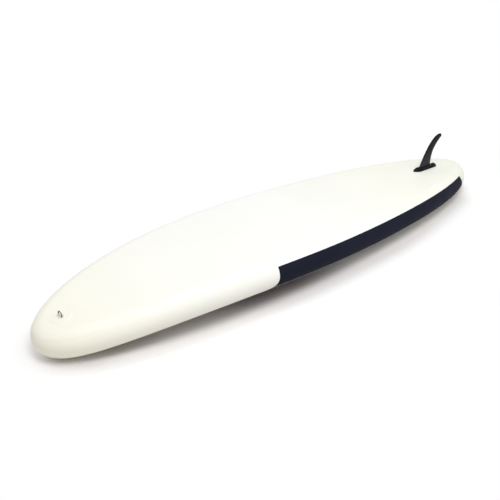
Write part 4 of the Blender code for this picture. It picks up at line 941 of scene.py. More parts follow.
def wrap_columns(tip, middle, break_at):
    """Columns of a wrap from its starboard end round the tip to its port end, at an angle of the rail."""
    def columns(angle):
        edge = break_at(angle)
        stretch = (edge - tip) / (middle - tip)
        inner = [x for x in STATIONS if abs(x - tip) < abs(middle - tip) - STATION_FROM_BREAK]
        inner.sort(key=lambda x: -abs(x - tip))
        places = [edge] + [tip + (x - tip) * stretch for x in inner]
        return [(x, STARBOARD) for x in places] + [(x, PORT) for x in reversed(places[:-1])]
    return columns


def panel_columns(side):
    """Columns of a panel from nose to tail, with both ends hidden under the wraps."""
    def columns(angle):
        first, last = nose_break(angle) - LAP_HIDDEN, tail_break(angle) + LAP_HIDDEN
        stretch = (last - first) / (TAIL_BREAK - NOSE_BREAK)
        inner = [x for x in STATIONS if NOSE_BREAK + STATION_FROM_BREAK < x < TAIL_BREAK - STATION_FROM_BREAK]
        places = [first] + [first + (x - NOSE_BREAK) * stretch for x in inner] + [last]
        return [(x, side) for x in places]
    return columns


def make_rail(name, replaced, look, columns_at, lift, thickness):
    """A band round the rail from seam to seam; its ends are raised by lift."""
    lap_angle = LAP_HIDDEN / RAIL_RADIUS
    bm = bmesh.new()
    edges = []
    for inset in (0.0, thickness):
        rows = []
        for angle in spread(HULL_SEAM_ANGLE - lap_angle, DECK_SEAM_ANGLE + lap_angle, RAIL_STEPS):
            columns = columns_at(min(max(angle, HULL_SEAM_ANGLE), DECK_SEAM_ANGLE))
            row = []
            for x, side in columns:
                from_end = min(abs(x - columns[0][0]), abs(x - columns[-1][0]))
                row.append(rail_point(x, side, angle, RAIL_RADIUS + lap_lift(from_end, lift) - inset))
            rows.append(row)
        grid = loft(bm, rows, False, False)
        edges.append((grid[0], grid[-1], [row[0] for row in grid], [row[-1] for row in grid]))
    for outer, inner in zip(*edges):
        bridge(bm, outer, inner, False)
    return mesh_piece(name, bm, look, replaced)


# Patches on a skin, D rings and their webbing loops

def make_patch(name, replaced, look, x, y, side, half_x, half_y, kind):
    """A welded patch with a rolled rim and a pressed line inside it."""
    steps, power, profile = kind
    outline = [superellipse(angle, power) for angle in turns(steps)]
    rows = []
    for share, height in profile:
        rows.append([on_board(x + half_x * share * u, y + half_y * share * v, side, height)
                     for u, v in outline[:steps if share else 1]])
    bm = bmesh.new()
    bm.faces.new(loft(bm, rows, capped=False)[-1])
    mesh_piece(name, bm, look, replaced)


def ring_line(inside, wire):
    """Centre line of a D ring: straight bar on local y, bow towards local x."""
    half = inside / 2.0 + wire
    corner = half * RING_CORNER_SHARE
    first = [(corner * (1.0 - math.cos(a)), half - corner * (1.0 - math.sin(a)))
             for a in spread(0.0, math.pi / 2.0, 9)]
    bow = [(half * (RING_DEPTH_SHARE + math.sin(a)), half * math.cos(a))
           for a in spread(0.0, math.pi, 36)[1:-1]]
    return [(0.0, 0.0)] + first + bow + [(x, -y) for x, y in reversed(first)]


def make_ring(name, replaced, look, body, local, inside, wire):
    curve = bpy.data.curves.new(name, "CURVE")
    curve.dimensions = "3D"
    curve.bevel_depth = wire
    curve.bevel_resolution = 6
    spline = curve.splines.new("POLY")
    points = ring_line(inside, wire)
    spline.points.add(len(points) - 1)
    for point, (x, y) in zip(spline.points, points):
        point.co = (*(local @ Vector((x, y, 0.0))), 1.0)
    spline.use_cyclic_u = True
    add_piece(name, curve, look, replaced, body)


def make_loop(name, replaced, look, thread, base, width, wire):
    """Webbing folded over the ring's bar, with rounded selvedges and stitches on each foot."""
    thickness = LOOP_THICKNESS
    inner = wire + LOOP_PLAY
    outer = inner + thickness
    reach = outer + LOOP_FOOT
    half = width / 2.0
    arch = spread(0.0, math.pi, 18)
    foot = [(reach, 0.0), (reach, thickness * 0.7), (reach - 0.0006, thickness), (outer + 0.0012, thickness)]
    outline = foot + [(outer * math.cos(a), inner + outer * math.sin(a)) for a in arch]
    outline += [(-u, v) for u, v in reversed(foot)] + [(-inner, 0.0)]
    outline += [(inner * math.cos(a), inner + inner * math.sin(a)) for a in reversed(arch)] + [(inner, 0.0)]
    selvedge = half - LOOP_SELVEDGE
    sections = ((-half, LOOP_SELVEDGE_SHARE), (-selvedge, 1.0), (selvedge, 1.0), (half, LOOP_SELVEDGE_SHARE))
    rows = [[base @ Vector((u, y, v * share)) for u, v in outline] for y, share in sections]
    lofted(name, rows, look, replaced, smooth_angle=30.0)
    side = half - STITCH_INSET
    lines = (outer + LOOP_STITCH_OUT, reach - STITCH_INSET)
    runs = [((u, -side), (u, side)) for line in lines for u in (-line, line)]
    add_stitches(name + "_stitches", thread, lambda u, v, h: base @ Vector((u, v, thickness + h)), runs,
                 LOOP_STITCH_PITCH)


def make_ring_set(name, replaced, side, ring, body, looks):
    """A patch, a loop and a ring, which stand for three construction pieces."""
    x, y, wire, inside, loop_width, patch_radius, lean = ring
    patch_look, loop_look, steel, thread = looks
    make_patch(name + "_patch", replaced[0], patch_look, x, y, side, patch_radius, patch_radius, ROUND_PATCH)
    base = skin_frame(x, y, side, RING_LIFT)
    make_loop(name + "_loop", replaced[1], loop_look, thread, base, loop_width, wire)
    bar = base @ Matrix.Translation((0.0, 0.0, wire + BAR_LIFT)) @ Matrix.Rotation(-lean, 4, "Y")
    make_ring(name + "_ring", replaced[2], steel, body, bar, inside, wire)


# Deck pad: a sheet of foam with eased edges and cut grooves

def full_pad_width(x):
    return spine_station(x)[0] - PAD_EDGE_MARGIN


def pad_outline():
    """The pad's edge in design space, anticlockwise, with rounded front corners."""
    side = []
    for turn in spread(0.0, math.pi / 2.0, 15):
        x = PAD_START + PAD_CORNER * (1.0 - math.cos(turn))
        side.append((x, full_pad_width(x) - PAD_CORNER * (1.0 - math.sin(turn))))
    side += [(x, full_pad_width(x)) for x in spread(PAD_START + PAD_CORNER, KICK_START - FACE_GAP, 64)[1:]]
    return [Vector((x, -w)) for x, w in side] + [Vector((x, w)) for x, w in reversed(side)]


def offset_loop(points, distance):
    """Moves a closed anticlockwise outline inwards."""
    moved = []
    for k, here in enumerate(points):
        first = (here - points[k - 1]).normalized()
        second = (points[(k + 1) % len(points)] - here).normalized()
        inward = Vector((-first.y - second.y, first.x + second.x)).normalized()
        moved.append(here + inward * distance / max(0.5, inward.dot(Vector((-first.y, first.x)))))
    return moved


def stadium(centre, half_length, half_width, steps=12):
    straight = half_length - half_width
    right = [Vector((straight + half_width * math.cos(a), half_width * math.sin(a)))
             for a in spread(-math.pi / 2.0, math.pi / 2.0, steps)]
    return [Vector((centre + p.x, p.y)) for p in right] + [Vector((centre - p.x, -p.y)) for p in right]


def edge_loops(outline, way, groove):
    """Loops over the eased edge and over the groove that follows it; way 1 is inwards."""
    start, end = groove
    steps = PAD_EDGE + ((start, PAD_THICKNESS), (start + GROOVE_WALL, GROOVE_FLOOR),
                        (end - GROOVE_WALL, GROOVE_FLOOR), (end, PAD_THICKNESS))
    return [(offset_loop(outline, way * distance), height) for distance, height in steps]


def groove_loop(start, end, share, half_width):
    """A long thin outline that follows the pad's edge at this share of its half-width."""
    places = spread(start, end, max(2, round((end - start) / GROOVE_PITCH)))
    low = [Vector((x, share * full_pad_width(x) - half_width)) for x in places]
    high = [Vector((x, share * full_pad_width(x) + half_width)) for x in reversed(places)]
    nose = Vector((start - half_width, share * full_pad_width(start)))
    tail = Vector((end + half_width, share * full_pad_width(end)))
    return low + [tail] + high + [nose]


def groove_loops():
    """Loops of the long grooves; the middle pair stops short of the handle's opening."""
    first, last = GROOVE_SPAN
    clear = OPENING[0] + GROOVE_CLEARANCE
    loops = []
    for share in GROOVE_SHARES:
        spans = [(first, last)]
        if share == GROOVE_SHARES[0]:
            spans = [(first, HANDLE_STATION - clear), (HANDLE_STATION + clear, last)]
        for signed in (share, -share):
            for start, end in spans:
                for half_width, height in zip(GROOVE_HALF_WIDTHS, (PAD_THICKNESS, GROOVE_FLOOR)):
                    loops.append((groove_loop(start, end, signed, half_width), height))
    return loops


def fill_points():
    """Points on the pad's face between the grooves, clear of the handle's opening."""
    between = [(a + b) / 2.0 for a, b in zip(GROOVE_SHARES, GROOVE_SHARES[1:])]
    points = []
    for x in spread(PAD_START + 0.05, GROOVE_SPAN[1], PAD_FILL_STEPS):
        for share in sorted([0.0] + between + [-b for b in between]):
            y = share * full_pad_width(x)
            if (abs(x - HANDLE_STATION) > OPENING[0] + PAD_FILL_CLEARANCE
                    or abs(y) > OPENING[1] + PAD_FILL_CLEARANCE):
                points.append(Vector((x, y)))
    return points


def inside_pad(place):
    width = full_pad_width(place.x)
    depth = PAD_CORNER - (place.x - PAD_START)
    if depth > 0.0:
        width += math.sqrt(max(0.0, PAD_CORNER ** 2 - depth ** 2)) - PAD_CORNER
    hole_length, hole_width = OPENING
    along = max(0.0, abs(place.x - HANDLE_STATION) - (hole_length - hole_width))
    return abs(place.y) < width and math.hypot(along, place.y) >= hole_width * 0.998


def make_deck_pad():
    outline, hole = pad_outline(), stadium(HANDLE_STATION, *OPENING)
    rim_loops = edge_loops(outline, 1, RIM_GROOVE)
    points, heights, edges = [], [], []
    for loop, height in rim_loops + edge_loops(hole, -1, HOLE_GROOVE) + groove_loops():
        base, count = len(points), len(loop)
        points += loop
        heights += [height] * count
        edges += [(base + k, base + (k + 1) % count) for k in range(count)]
    fill = fill_points()
    points += fill
    heights += [PAD_THICKNESS] * len(fill)
    flat, _, faces, origins, _, _ = delaunay_2d_cdt(points, edges, [], 0, 1e-7)
    bm = bmesh.new()
    level = [heights[source[0]] if source else PAD_THICKNESS for source in origins]
    upper = [bm.verts.new(on_board(p.x, p.y, DECK, height)) for p, height in zip(flat, level)]
    lower = [bm.verts.new(on_board(p.x, p.y, DECK, BASE_GAP)) for p in flat]
    for face in faces:
        if inside_pad(sum((flat[k] for k in face), Vector((0.0, 0.0))) / len(face)):
            cut = min(level[k] for k in face) < PAD_THICKNESS - 0.0001
            bm.faces.new([upper[k] for k in face]).material_index = 1 if cut else 0
            bm.faces.new([lower[k] for k in reversed(face)]).material_index = 1
    found = {source[0]: k for k, source in enumerate(origins) if source}
    for base, count in ((0, len(outline)), (len(outline) * len(rim_loops), len(hole))):
        ring = [found[base + k] for k in range(count)]
        bridge(bm, [upper[k] for k in ring], [lower[k] for k in ring])
    bmesh.ops.delete(bm, geom=[v for v in bm.verts if not v.link_faces], context="VERTS")
    piece = mesh_piece("deck_foam_pad", bm, FOAM, "deck_pad", smooth_angle=28.0)
    piece.data.materials.append(CUT_FOAM[1])


# Kick pad: a crowned foam wedge that is flat only where it rests

def height_to_floor(x):
    floor_normal = (REST.to_3x3().inverted() @ Vector((0.0, 0.0, 1.0))).normalized()
    angle = surface_angle(x)
    skin_normal = Vector((-math.sin(angle), 0.0, math.cos(angle)))
    return (bend(x, 0.0, -RAIL_RADIUS) - kick_crest()).dot(floor_normal) / skin_normal.dot(floor_normal)


def kick_top(x):
    crest_start = KICK_START + KICK_RAMP
    crest_end = crest_start + KICK_CREST
    if x <= crest_start:
        share = (x - KICK_START) / KICK_RAMP
        return PAD_THICKNESS + (KICK_HEIGHT - PAD_THICKNESS) * share ** KICK_RAMP_POWER
    if x <= crest_end:
        return height_to_floor(x)
    share = max(0.0, (crest_end + KICK_FALL - x) / KICK_FALL)
    return PAD_THICKNESS + (height_to_floor(crest_end) - PAD_THICKNESS) * share ** KICK_FALL_POWER


def make_kick_pad():
    end = KICK_START + KICK_RAMP + KICK_CREST + KICK_FALL
    stations = [(KICK_START + inset, share, 0.0) for inset, share in KICK_FRONT]
    for k in range(RIB_COUNT):
        rib = KICK_START + RIB_START + RIB_PITCH * k
        stations += [(rib + offset, 1.0, depth) for offset, depth in RIB_CUT]
    stations = [station for station in stations if station[0] < end - LAST_RIB_FROM_END]
    stations += [(end - inset, share, 0.0) for inset, share in KICK_REAR]
    rows = []
    for x, share, depth in stations:
        half = full_pad_width(x)
        full = kick_top(x) * share
        rim = [(half - inset, side_share) for inset, side_share in KICK_CROWN]
        middle = [(y, 1.0) for y in spread(rim[-1][0], -rim[-1][0], KICK_FLAT_STEPS)[1:-1]]
        row = []
        for y, side_share in rim + middle + [(-y, side_share) for y, side_share in reversed(rim)]:
            cut = depth * min(1.0, max(0.0, (half - RIB_FROM_SIDE - abs(y)) / RIB_RUNOUT))
            row.append(on_board(x, y, DECK, BASE_GAP + (full - BASE_GAP) * side_share - cut))
        row += [on_board(x, y, DECK, BASE_GAP) for y in (KICK_BASE_INSET - half, half - KICK_BASE_INSET)]
        rows.append(row)
    lofted("kick_foam_pad", rows, KICK_FOAM, "tail_kick_pad")


# Carry handle

def handle_rise(x):
    half_span = HANDLE_SPAN / 2.0
    half_top = GRIP_LENGTH / 2.0 + STRAP_PAST_GRIP
    return HANDLE_HEIGHT * smooth((half_span - abs(x)) / (half_span - half_top))


def make_strap(local):
    end, half, thick = HANDLE_SPAN / 2.0 + HANDLE_FOOT, WEBBING_WIDTH / 2.0, WEBBING_THICKNESS / 2.0
    section = rounded(rectangle(-half, -thick, half, thick), STRAP_CORNER)
    rows = []
    for x in spread(-end, end, STRAP_STEPS):
        slope = (handle_rise(x + 0.0005) - handle_rise(x - 0.0005)) / 0.001
        size = math.hypot(slope, 1.0)
        level = STRAP_LOW + handle_rise(x)
        rows.append([local @ Vector((x - slope / size * w, v, level + w / size)) for v, w in section])
    lofted("carry_strap", rows, WEBBING, "handle_strap")
    side = half - STRAP_STITCHES_INSET
    near, far = STRAP_STITCHES
    runs = []
    for sign in (-1, 1):
        a, b, c, d = rectangle(sign * near, -side, sign * far, side)
        runs += [(a, b), (b, c), (c, d), (d, a), (a, c), (b, d)]
    add_stitches("carry_strap_stitches", THREAD,
                 lambda u, v, h: local @ Vector((u, v, STRAP_LOW + thick + h)), runs)


def sleeve_point(local, x, angle, share, swell=0.0):
    """A point of the sleeve at this share of its full section, made thicker by swell."""
    across, up = superellipse(angle, GRIP_SQUARENESS)
    half_y, half_z = GRIP_WIDTH / 2.0 * share + swell, GRIP_DEPTH / 2.0 * share + swell
    return local @ Vector((x, half_y * across, half_z * up))


def sleeve_share(x):
    return 1.0 - GRIP_CROWN + GRIP_CROWN * math.cos(math.pi * x / GRIP_LENGTH)


def make_grip(local):
    """Foam sleeve round the strap: crowned, pulled in at its ends, with one sewn edge."""
    half = GRIP_LENGTH / 2.0
    outwards = local.to_3x3()
    rolled = [(inset - half, share) for inset, share in GRIP_END]
    even = [(x, sleeve_share(x)) for x in spread(GRIP_EVEN_FROM_END - half, half - GRIP_EVEN_FROM_END, 44)]
    rows = []
    for x, share in rolled + even + [(-x, share) for x, share in reversed(rolled)]:
        row = []
        for angle in turns(56):
            wrinkle = seam = 0.0
            round_way = Vector((0.0, math.cos(angle), math.sin(angle)))
            if share > 0.9:
                spot = Vector((x * 160.0, round_way.y * 2.2, round_way.z * 2.2))
                wrinkle = GRIP_WRINKLE * noise.noise(spot)
                seam = GRIP_SEAM_DEPTH * math.exp(-((angle - GRIP_SEAM_ANGLE) / GRIP_SEAM_SPREAD) ** 2)
            row.append(sleeve_point(local, x, angle, share, wrinkle) - outwards @ round_way * seam)
        rows.append(row)
    lofted("grip_sleeve", rows, GRIP_FOAM, "handle_grip", smooth_angle=60.0)

    def on_sleeve(u, v, h):
        angle = GRIP_STITCH_ANGLE + v / (GRIP_DEPTH / 2.0)
        round_way = Vector((0.0, math.cos(angle), math.sin(angle)))
        return sleeve_point(local, u, angle, sleeve_share(u)) + outwards @ round_way * h

    end = half - GRIP_STITCH_END
    add_stitches("grip_stitches", THREAD, on_sleeve, [((-end, 0.0), (end, 0.0))], GRIP_STITCH_PITCH,
                 GRIP_STITCH_RADIUS)


def make_handle():
    local = skin_frame(HANDLE_STATION, 0.0, DECK)
    half_x, half_y = (size / 2.0 for size in HANDLE_PATCH)
    for word, sign in (("front", -1), ("rear", 1)):
        x = HANDLE_STATION + sign * (HANDLE_SPAN + HANDLE_FOOT) / 2.0
        make_patch(f"{word}_handle_patch", f"handle_{word}_patch", DARK, x, 0.0, DECK, half_x, half_y,
                   SQUARE_PATCH)
    make_strap(local)
    make_grip(local @ Matrix.Translation((0.0, 0.0, STRAP_LOW + HANDLE_HEIGHT)))


# Inflation valve, in a frame on the deck skin

def make_turned(name, replaced, look, local, profile, corner, steps=ROUND_STEPS, closed=True, reach_at=None,
                body="board", added=None):
    """A turned piece with eased corners; added(bm) puts more on it."""
    bm = bmesh.new()
    turned(bm, local, rounded(profile, corner, closed), steps, closed, reach_at)
    if added:
        added(bm)
    return mesh_piece(name, bm, look, replaced, body, 40.0)


def spring_rings(local):
    """Sections of a round wire wound round the frame's z, flatter at both ends."""
    def centre(share):
        angle = 2.0 * math.pi * SPRING_TURNS * share
        eased = SPRING_END_SHARE * smooth(share) + (1.0 - SPRING_END_SHARE) * share
        return Vector((SPRING_RADIUS * math.cos(angle), SPRING_RADIUS * math.sin(angle),
                       SPRING_LOW + (SPRING_HIGH - SPRING_LOW) * eased))

    rows = []
    for share in spread(0.0, 1.0, SPRING_STEPS):
        here = centre(share)
        along = (centre(min(1.0, share + 0.001)) - centre(max(0.0, share - 0.001))).normalized()
        across = Vector((here.x, here.y, 0.0)).normalized()
        up = along.cross(across)
        rows.append([local @ (here + (across * math.cos(turn) + up * math.sin(turn)) * SPRING_WIRE)
                     for turn in turns(SPRING_SECTION)])
    return rows


def make_valve(deck_sheet):
    local = skin_frame(VALVE_STATION, 0.0, DECK)
    drill(deck_sheet, local, VALVE_HOLE, -VALVE_CUT, VALVE_CUT, ROUND_STEPS)

    def add_cross(bm):
        for turn in turns(3):
            arm = local @ Matrix.Rotation(turn, 4, "Z")
            start, end, half = VALVE_ARM
            block(bm, arm, (start, -half, VALVE_HUB[1]), (end, half, VALVE_HUB[3]))
        turned(bm, local, rounded(rectangle(*VALVE_HUB), 0.0004))

    def notched(radius, z, angle):
        notch = NUT_NOTCH_DEPTH * smooth((math.cos(NUT_NOTCH_COUNT * angle) - 0.80) / 0.12)
        return radius - notch if radius > VALVE_NUT[2] - 0.002 else radius

    def add_lid_top(bm):
        under = VALVE_LID[-1]
        turned(bm, local, [under, (0.0, under[1])], LID_STEPS, False)
        block(bm, local, *LID_GRIP, 0.0007)

    make_turned("valve_seal_ring", "valve_gasket", RUBBER, local, rectangle(*VALVE_GASKET), 0.0004)
    make_turned("valve_housing", "valve_body", VALVE_PLASTIC, local, VALVE_HOUSING, 0.0005, HOUSING_STEPS,
                reach_at=milled(*HOUSING_FLUTES), added=add_cross)
    make_turned("valve_nut", "valve_clamp_nut", VALVE_PLASTIC, local, rectangle(*VALVE_NUT), 0.0010,
                HOUSING_STEPS, reach_at=notched)
    make_turned("valve_plunger", "valve_stem", RUBBER, local, VALVE_PLUNGER, 0.0006, closed=False,
                body="valve_stem")
    make_turned("valve_lid", "valve_cap", VALVE_PLASTIC, local, VALVE_LID, 0.0005, LID_STEPS, False,
                milled(*LID_FLUTES), "valve_cap", add_lid_top)
    spring = lofted("valve_coil", spring_rings(local), STEEL, "valve_spring", smooth_angle=40.0)
    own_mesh(spring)


# Fin box

def box_section(x):
    """Half-width of the box's flange and height of its top at local x."""
    behind_tip = x - BOX_START
    nose = behind_tip / FIN_BOX_NOSE
    ramp_share = behind_tip / FIN_BOX_RAMP
    taper = max(0.0, behind_tip - FIN_BOX_RAMP) / (FIN_BOX_LENGTH - FIN_BOX_RAMP)
    rear = (x - BOX_END + FIN_BOX_REAR) / FIN_BOX_REAR
    half = FIN_BOX_WIDTH / 2.0 * (1.0 - (1.0 - FIN_BOX_REAR_WIDTH_SHARE) * taper)
    height = FIN_BOX_HEIGHT
    if nose < 1.0:
        half = FIN_BOX_TIP_WIDTH / 2.0 + (half - FIN_BOX_TIP_WIDTH / 2.0) * math.sin(nose * math.pi / 2.0)
    if ramp_share < 1.0:
        height *= FIN_BOX_TIP_HEIGHT_SHARE + (1.0 - FIN_BOX_TIP_HEIGHT_SHARE) * smooth(ramp_share)
    if rear > 0.0:
        half *= math.sqrt(1.0 - FIN_BOX_REAR_NARROWING * rear * rear)
        height *= 1.0 - FIN_BOX_REAR_LOWERING * rear * rear
    return half, height


def box_side(x, inset):
    """Outline of one side of the box at x, from its foot to the slot's edge."""
    half, height = box_section(x)
    half, height = half - inset, height - inset
    wall = half - min(FIN_BOX_FLANGE, half * 0.24)
    lip = min(FIN_BOX_FLANGE_THICKNESS, height * 0.4)
    top = max(wall - FIN_BOX_SIDE_LEAN, wall * 0.6)
    chamfer = height * 0.12
    neck = min(FIN_SLOT_WIDTH / 2.0, (top - chamfer) * 0.6)
    side = [(half, 0.0), (half, lip), (wall, lip * 1.3), (top, height - chamfer), (top - chamfer, height),
            (neck, height)]
    return [Vector((x, p.x, p.y)) for p in rounded(side, FIN_BOX_CORNER, False)]


def box_ring(local, x, inset, slotted):
    """A closed section of the box, with the T-shaped slot for the foot if slotted."""
    side = box_side(x, inset)
    if slotted:
        mouth = FIN_CHANNEL_FLOOR + FIN_CHANNEL_HEIGHT
        neck, channel, top = FIN_SLOT_WIDTH / 2.0, FIN_CHANNEL_WIDTH / 2.0, side[-1].z
        side[-1:] = [Vector((x, y, z)) for y, z in (
            (neck + FIN_SLOT_CHAMFER, top), (neck, top - FIN_SLOT_CHAMFER), (neck, mouth), (channel, mouth),
            (channel, FIN_CHANNEL_FLOOR))]
    return [local @ p for p in side] + [local @ Vector((p.x, -p.y, p.z)) for p in reversed(side)]


def make_fin_box(local):
    slot_start, rear_start = BOX_START + FIN_SLOT_START, BOX_END - FIN_BOX_REAR
    front = [(BOX_START + behind, inset) for behind, inset in FIN_BOX_TIP_EASE]
    front += [(x, 0.0) for x in spread(BOX_START + 0.001, slot_start, 26)]
    back = [(x, 0.0) for x in spread(slot_start, rear_start, 30)]
    back += [(x, 0.0) for x in spread(rear_start, BOX_END - 0.0008, 14)[1:]]
    back += [(BOX_END - ahead, inset) for ahead, inset in FIN_BOX_END_EASE]
    bm = bmesh.new()
    solid = loft(bm, [box_ring(local, x, inset, False) for x, inset in front], capped=False)
    slotted = loft(bm, [box_ring(local, x, inset, True) for x, inset in back], capped=False)
    bm.faces.new(solid[0])
    bm.faces.new(slotted[-1])
    last, first = solid[-1], slotted[0]
    arm = len(last) // 2 - 1
    for k in range(arm - 1):
        bm.faces.new((last[k], last[k + 1], first[k + 1], first[k]))
        bm.faces.new((last[-1 - k], last[-2 - k], first[-2 - k], first[-1 - k]))
    bm.faces.new(last[arm - 1:arm + 3] + first[arm - 1:len(first) - arm + 1][::-1])
    bmesh.ops.remove_doubles(bm, verts=bm.verts, dist=0.00001)
    mesh_piece("fin_box_shell", bm, FIN_PLASTIC, "fin_box", smooth_angle=32.0)


# Fin and locking screw

def bezier(points, share):
    rest = 1.0 - share
    weights = (rest ** 3, 3 * rest ** 2 * share, 3 * rest * share ** 2, share ** 3)
    return sum((w * Vector(p) for w, p in zip(weights, points)), Vector((0.0, 0.0)))


def foil_share(share):
    """Thickness of a smooth symmetric foil at this share of its chord, 1 at its thickest."""
    if share <= 0.0:
        return 0.0
    return 10.0 * (0.2969 * math.sqrt(share) - 0.1260 * share - 0.3516 * share ** 2 + 0.2843 * share ** 3
                   - 0.1036 * share ** 4)


def foil_row(front, back, thickness, edge):
    """A foil section from its front round its back, with an edge that isn't sharp."""
    shares = [0.5 * (1.0 - math.cos(math.pi * k / FOIL_STEPS)) for k in range(FOIL_STEPS + 1)]
    row = []
    for sign, order in ((1, shares), (-1, shares[:0:-1])):
        for share in order:
            place = front.lerp(back, share)
            half = max(thickness * foil_share(share), edge * share) / 2.0
            if share > 0.995:
                half *= 0.6
            row.append(Vector((place.x, sign * half, place.y)))
    return row


def make_fin_blade(local):
    root = Vector((BOX_START + FIN_ROOT_FROM_BOX_TIP, FOOT_TOP))
    back = root + Vector((FIN_ROOT_CHORD, 0.0))
    head = root + Vector((FIN_RAKE, FIN_HEIGHT))
    tip = root + Vector((FIN_RAKE + FIN_TIP_CHORD, FIN_HEIGHT - FIN_TIP_DROP))
    leading = [root] + [root + Vector((a * FIN_RAKE, b * FIN_HEIGHT)) for a, b in FIN_LEADING_PULLS] + [head]
    drift = tip.x - back.x
    trailing = [back] + [back + Vector((a * drift, b * FIN_HEIGHT)) for a, b in FIN_TRAILING_PULLS] + [tip]
    rows = []
    for share in [0.0] + [(k / FIN_STEPS) ** 0.92 for k in range(1, FIN_STEPS + 1)]:
        thickness = FIN_ROOT_THICKNESS + (FIN_TIP_THICKNESS - FIN_ROOT_THICKNESS) * share
        rows.append(foil_row(bezier(leading, share), bezier(trailing, share), thickness, FIN_EDGE_THICKNESS))
    rows.insert(0, [Vector((p.x, p.y * FIN_ROOT_FLARE, p.z - FIN_ROOT_SUNK)) for p in rows[0]])
    cap = [head] + [end + Vector(pull) for end, pull in zip((head, tip), FIN_TIP_PULLS)] + [tip]
    for share in FIN_TIP_SHARES:
        front, rear = bezier(cap, share), bezier(cap, 1.0 - share)
        thin = math.sqrt(min(1.0, (front - rear).length / (head - tip).length))
        rows.append(foil_row(front, rear, FIN_TIP_THICKNESS * thin, FIN_EDGE_THICKNESS * thin))
    crown = bezier(cap, 0.5)
    rows.append([Vector((crown.x, 0.0, crown.y))])
    bm = bmesh.new()
    bm.faces.new(loft(bm, [[local @ p for p in row] for row in rows], capped=False)[0])
    mesh_piece("fin_blade", bm, BLADE_PLASTIC, "fin", "fin", 50.0)


def make_fin_foot(local, bore):
    """T-shaped foot that slides in the box, with a hole for the locking screw."""
    neck, channel = FIN_SLOT_WIDTH / 2.0 - FIN_FIT, FIN_CHANNEL_WIDTH / 2.0 - FIN_FIT
    low, shoulder = FIN_CHANNEL_FLOOR + FIN_FIT, FIN_CHANNEL_FLOOR + FIN_CHANNEL_HEIGHT - FIN_FIT
    right = [(channel, low), (channel, shoulder), (neck, shoulder), (neck, FOOT_TOP)]
    outline = rounded([(-channel, low)] + right + [(-y, z) for y, z in right[:0:-1]], FIN_FOOT_CORNER)
    start, end = BOX_START + FIN_SLOT_START + FIN_FIT, BOX_END - FIN_FOOT_END
    places = [(start, 0.90), (start + 0.0006, 1.0)] + [(x, 1.0) for x in spread(start + 0.02, end - 0.02, 4)]
    places += [(end - 0.0006, 1.0), (end, 0.90)]
    centre = Vector((0.0, (low + FOOT_TOP) / 2.0))
    rows = []
    for x, share in places:
        eased = [centre + (point - centre) * share for point in outline]
        rows.append([local @ Vector((x, point.x, point.y)) for point in eased])
    foot = lofted("fin_foot", rows, FIN_PLASTIC, "fin", "fin", 32.0)
    drill(foot, bore, LOCK_SCREW_RADIUS + LOCK_SCREW_PLAY, -0.01, 0.03, 48)


def make_fin_heel(local):
    """Low rounded bump at the end of the foot."""
    rows = []
    for share in spread(0.0, 1.0, 24):
        x = BOX_END - FIN_FOOT_END - FIN_HEEL_LENGTH * (1.0 - share)
        rise = FIN_HEEL_HEIGHT * abs(math.sin(math.pi * share)) ** FIN_HEEL_ROUNDNESS + FIN_HEEL_SUNK
        sides = [math.sin(side * math.pi / 2.0) for side in spread(-1.0, 1.0, 20)]
        rows.append([local @ Vector((x, FIN_HEEL_WIDTH / 2.0 * side,
                                     FOOT_TOP - FIN_HEEL_SUNK + rise * (1.0 - abs(side) ** 9) ** 0.5))
                     for side in sides])
    bm = bmesh.new()
    grid = loft(bm, rows, False, False)
    left, right = [row[0] for row in grid], [row[-1] for row in grid[-2::-1]]
    bm.faces.new(left + grid[-1][1:] + right + grid[0][-2:0:-1])
    mesh_piece("fin_heel", bm, FIN_PLASTIC, "fin", "fin", 50.0)


def make_lock_screw(local):
    foot, low = FIN_CHANNEL_FLOOR + FIN_FIT, FOOT_TOP + LOCK_SCREW_PLAY
    high = low + LOCK_KNOB_HEIGHT
    inner, outer = LOCK_KNOB_HOLLOW_RADII
    profile = [(0.0, foot), (LOCK_SCREW_RADIUS, foot), (LOCK_SCREW_RADIUS, low), (LOCK_KNOB_RADIUS, low),
               (LOCK_KNOB_RADIUS, high - LOCK_KNOB_CHAMFER), (LOCK_KNOB_RADIUS - LOCK_KNOB_CHAMFER, high),
               (outer, high), (inner, high - LOCK_KNOB_HOLLOW), (0.0, high - LOCK_KNOB_HOLLOW)]
    screw = make_turned("lock_screw_knob", "fin_lock_screw", FIN_PLASTIC, local, profile, 0.0004, 160, False,
                        milled(*LOCK_KNOB_FLUTES, low + 0.0002, 1.0), "fin_lock_screw")
    half_x, half_y = LOCK_SLOT_LENGTH / 2.0, LOCK_SLOT_WIDTH / 2.0
    bm = bmesh.new()
    block(bm, local, (-half_x, -half_y, high - LOCK_SLOT_DEPTH), (half_x, half_y, high + 0.002), 0.0001)
    carve(screw, bm)


def make_fin():
    local = skin_frame(BOARD_LENGTH - FIN_BOX_FROM_TAIL, 0.0, HULL, BASE_GAP)
    bore = local @ Matrix.Translation((BOX_START + LOCK_SCREW_FROM_BOX_TIP, 0.0, 0.0))
    make_fin_box(local)
    make_fin_blade(local)
    make_fin_foot(local, bore)
    make_fin_heel(local)
    make_lock_screw(bore)


# Floor, light and camera

def shade_stops(greys):
    """Colours of the floor's shade from the contact line outwards, slightly warm where dark."""
    stops = []
    for position, level in zip(CONTACT_STOPS, greys):
        stops.append((position, tuple(level + tint * (1.0 - level) for tint in SHADE_TINT)))
    return stops + [(1.0, grey(1.0))]


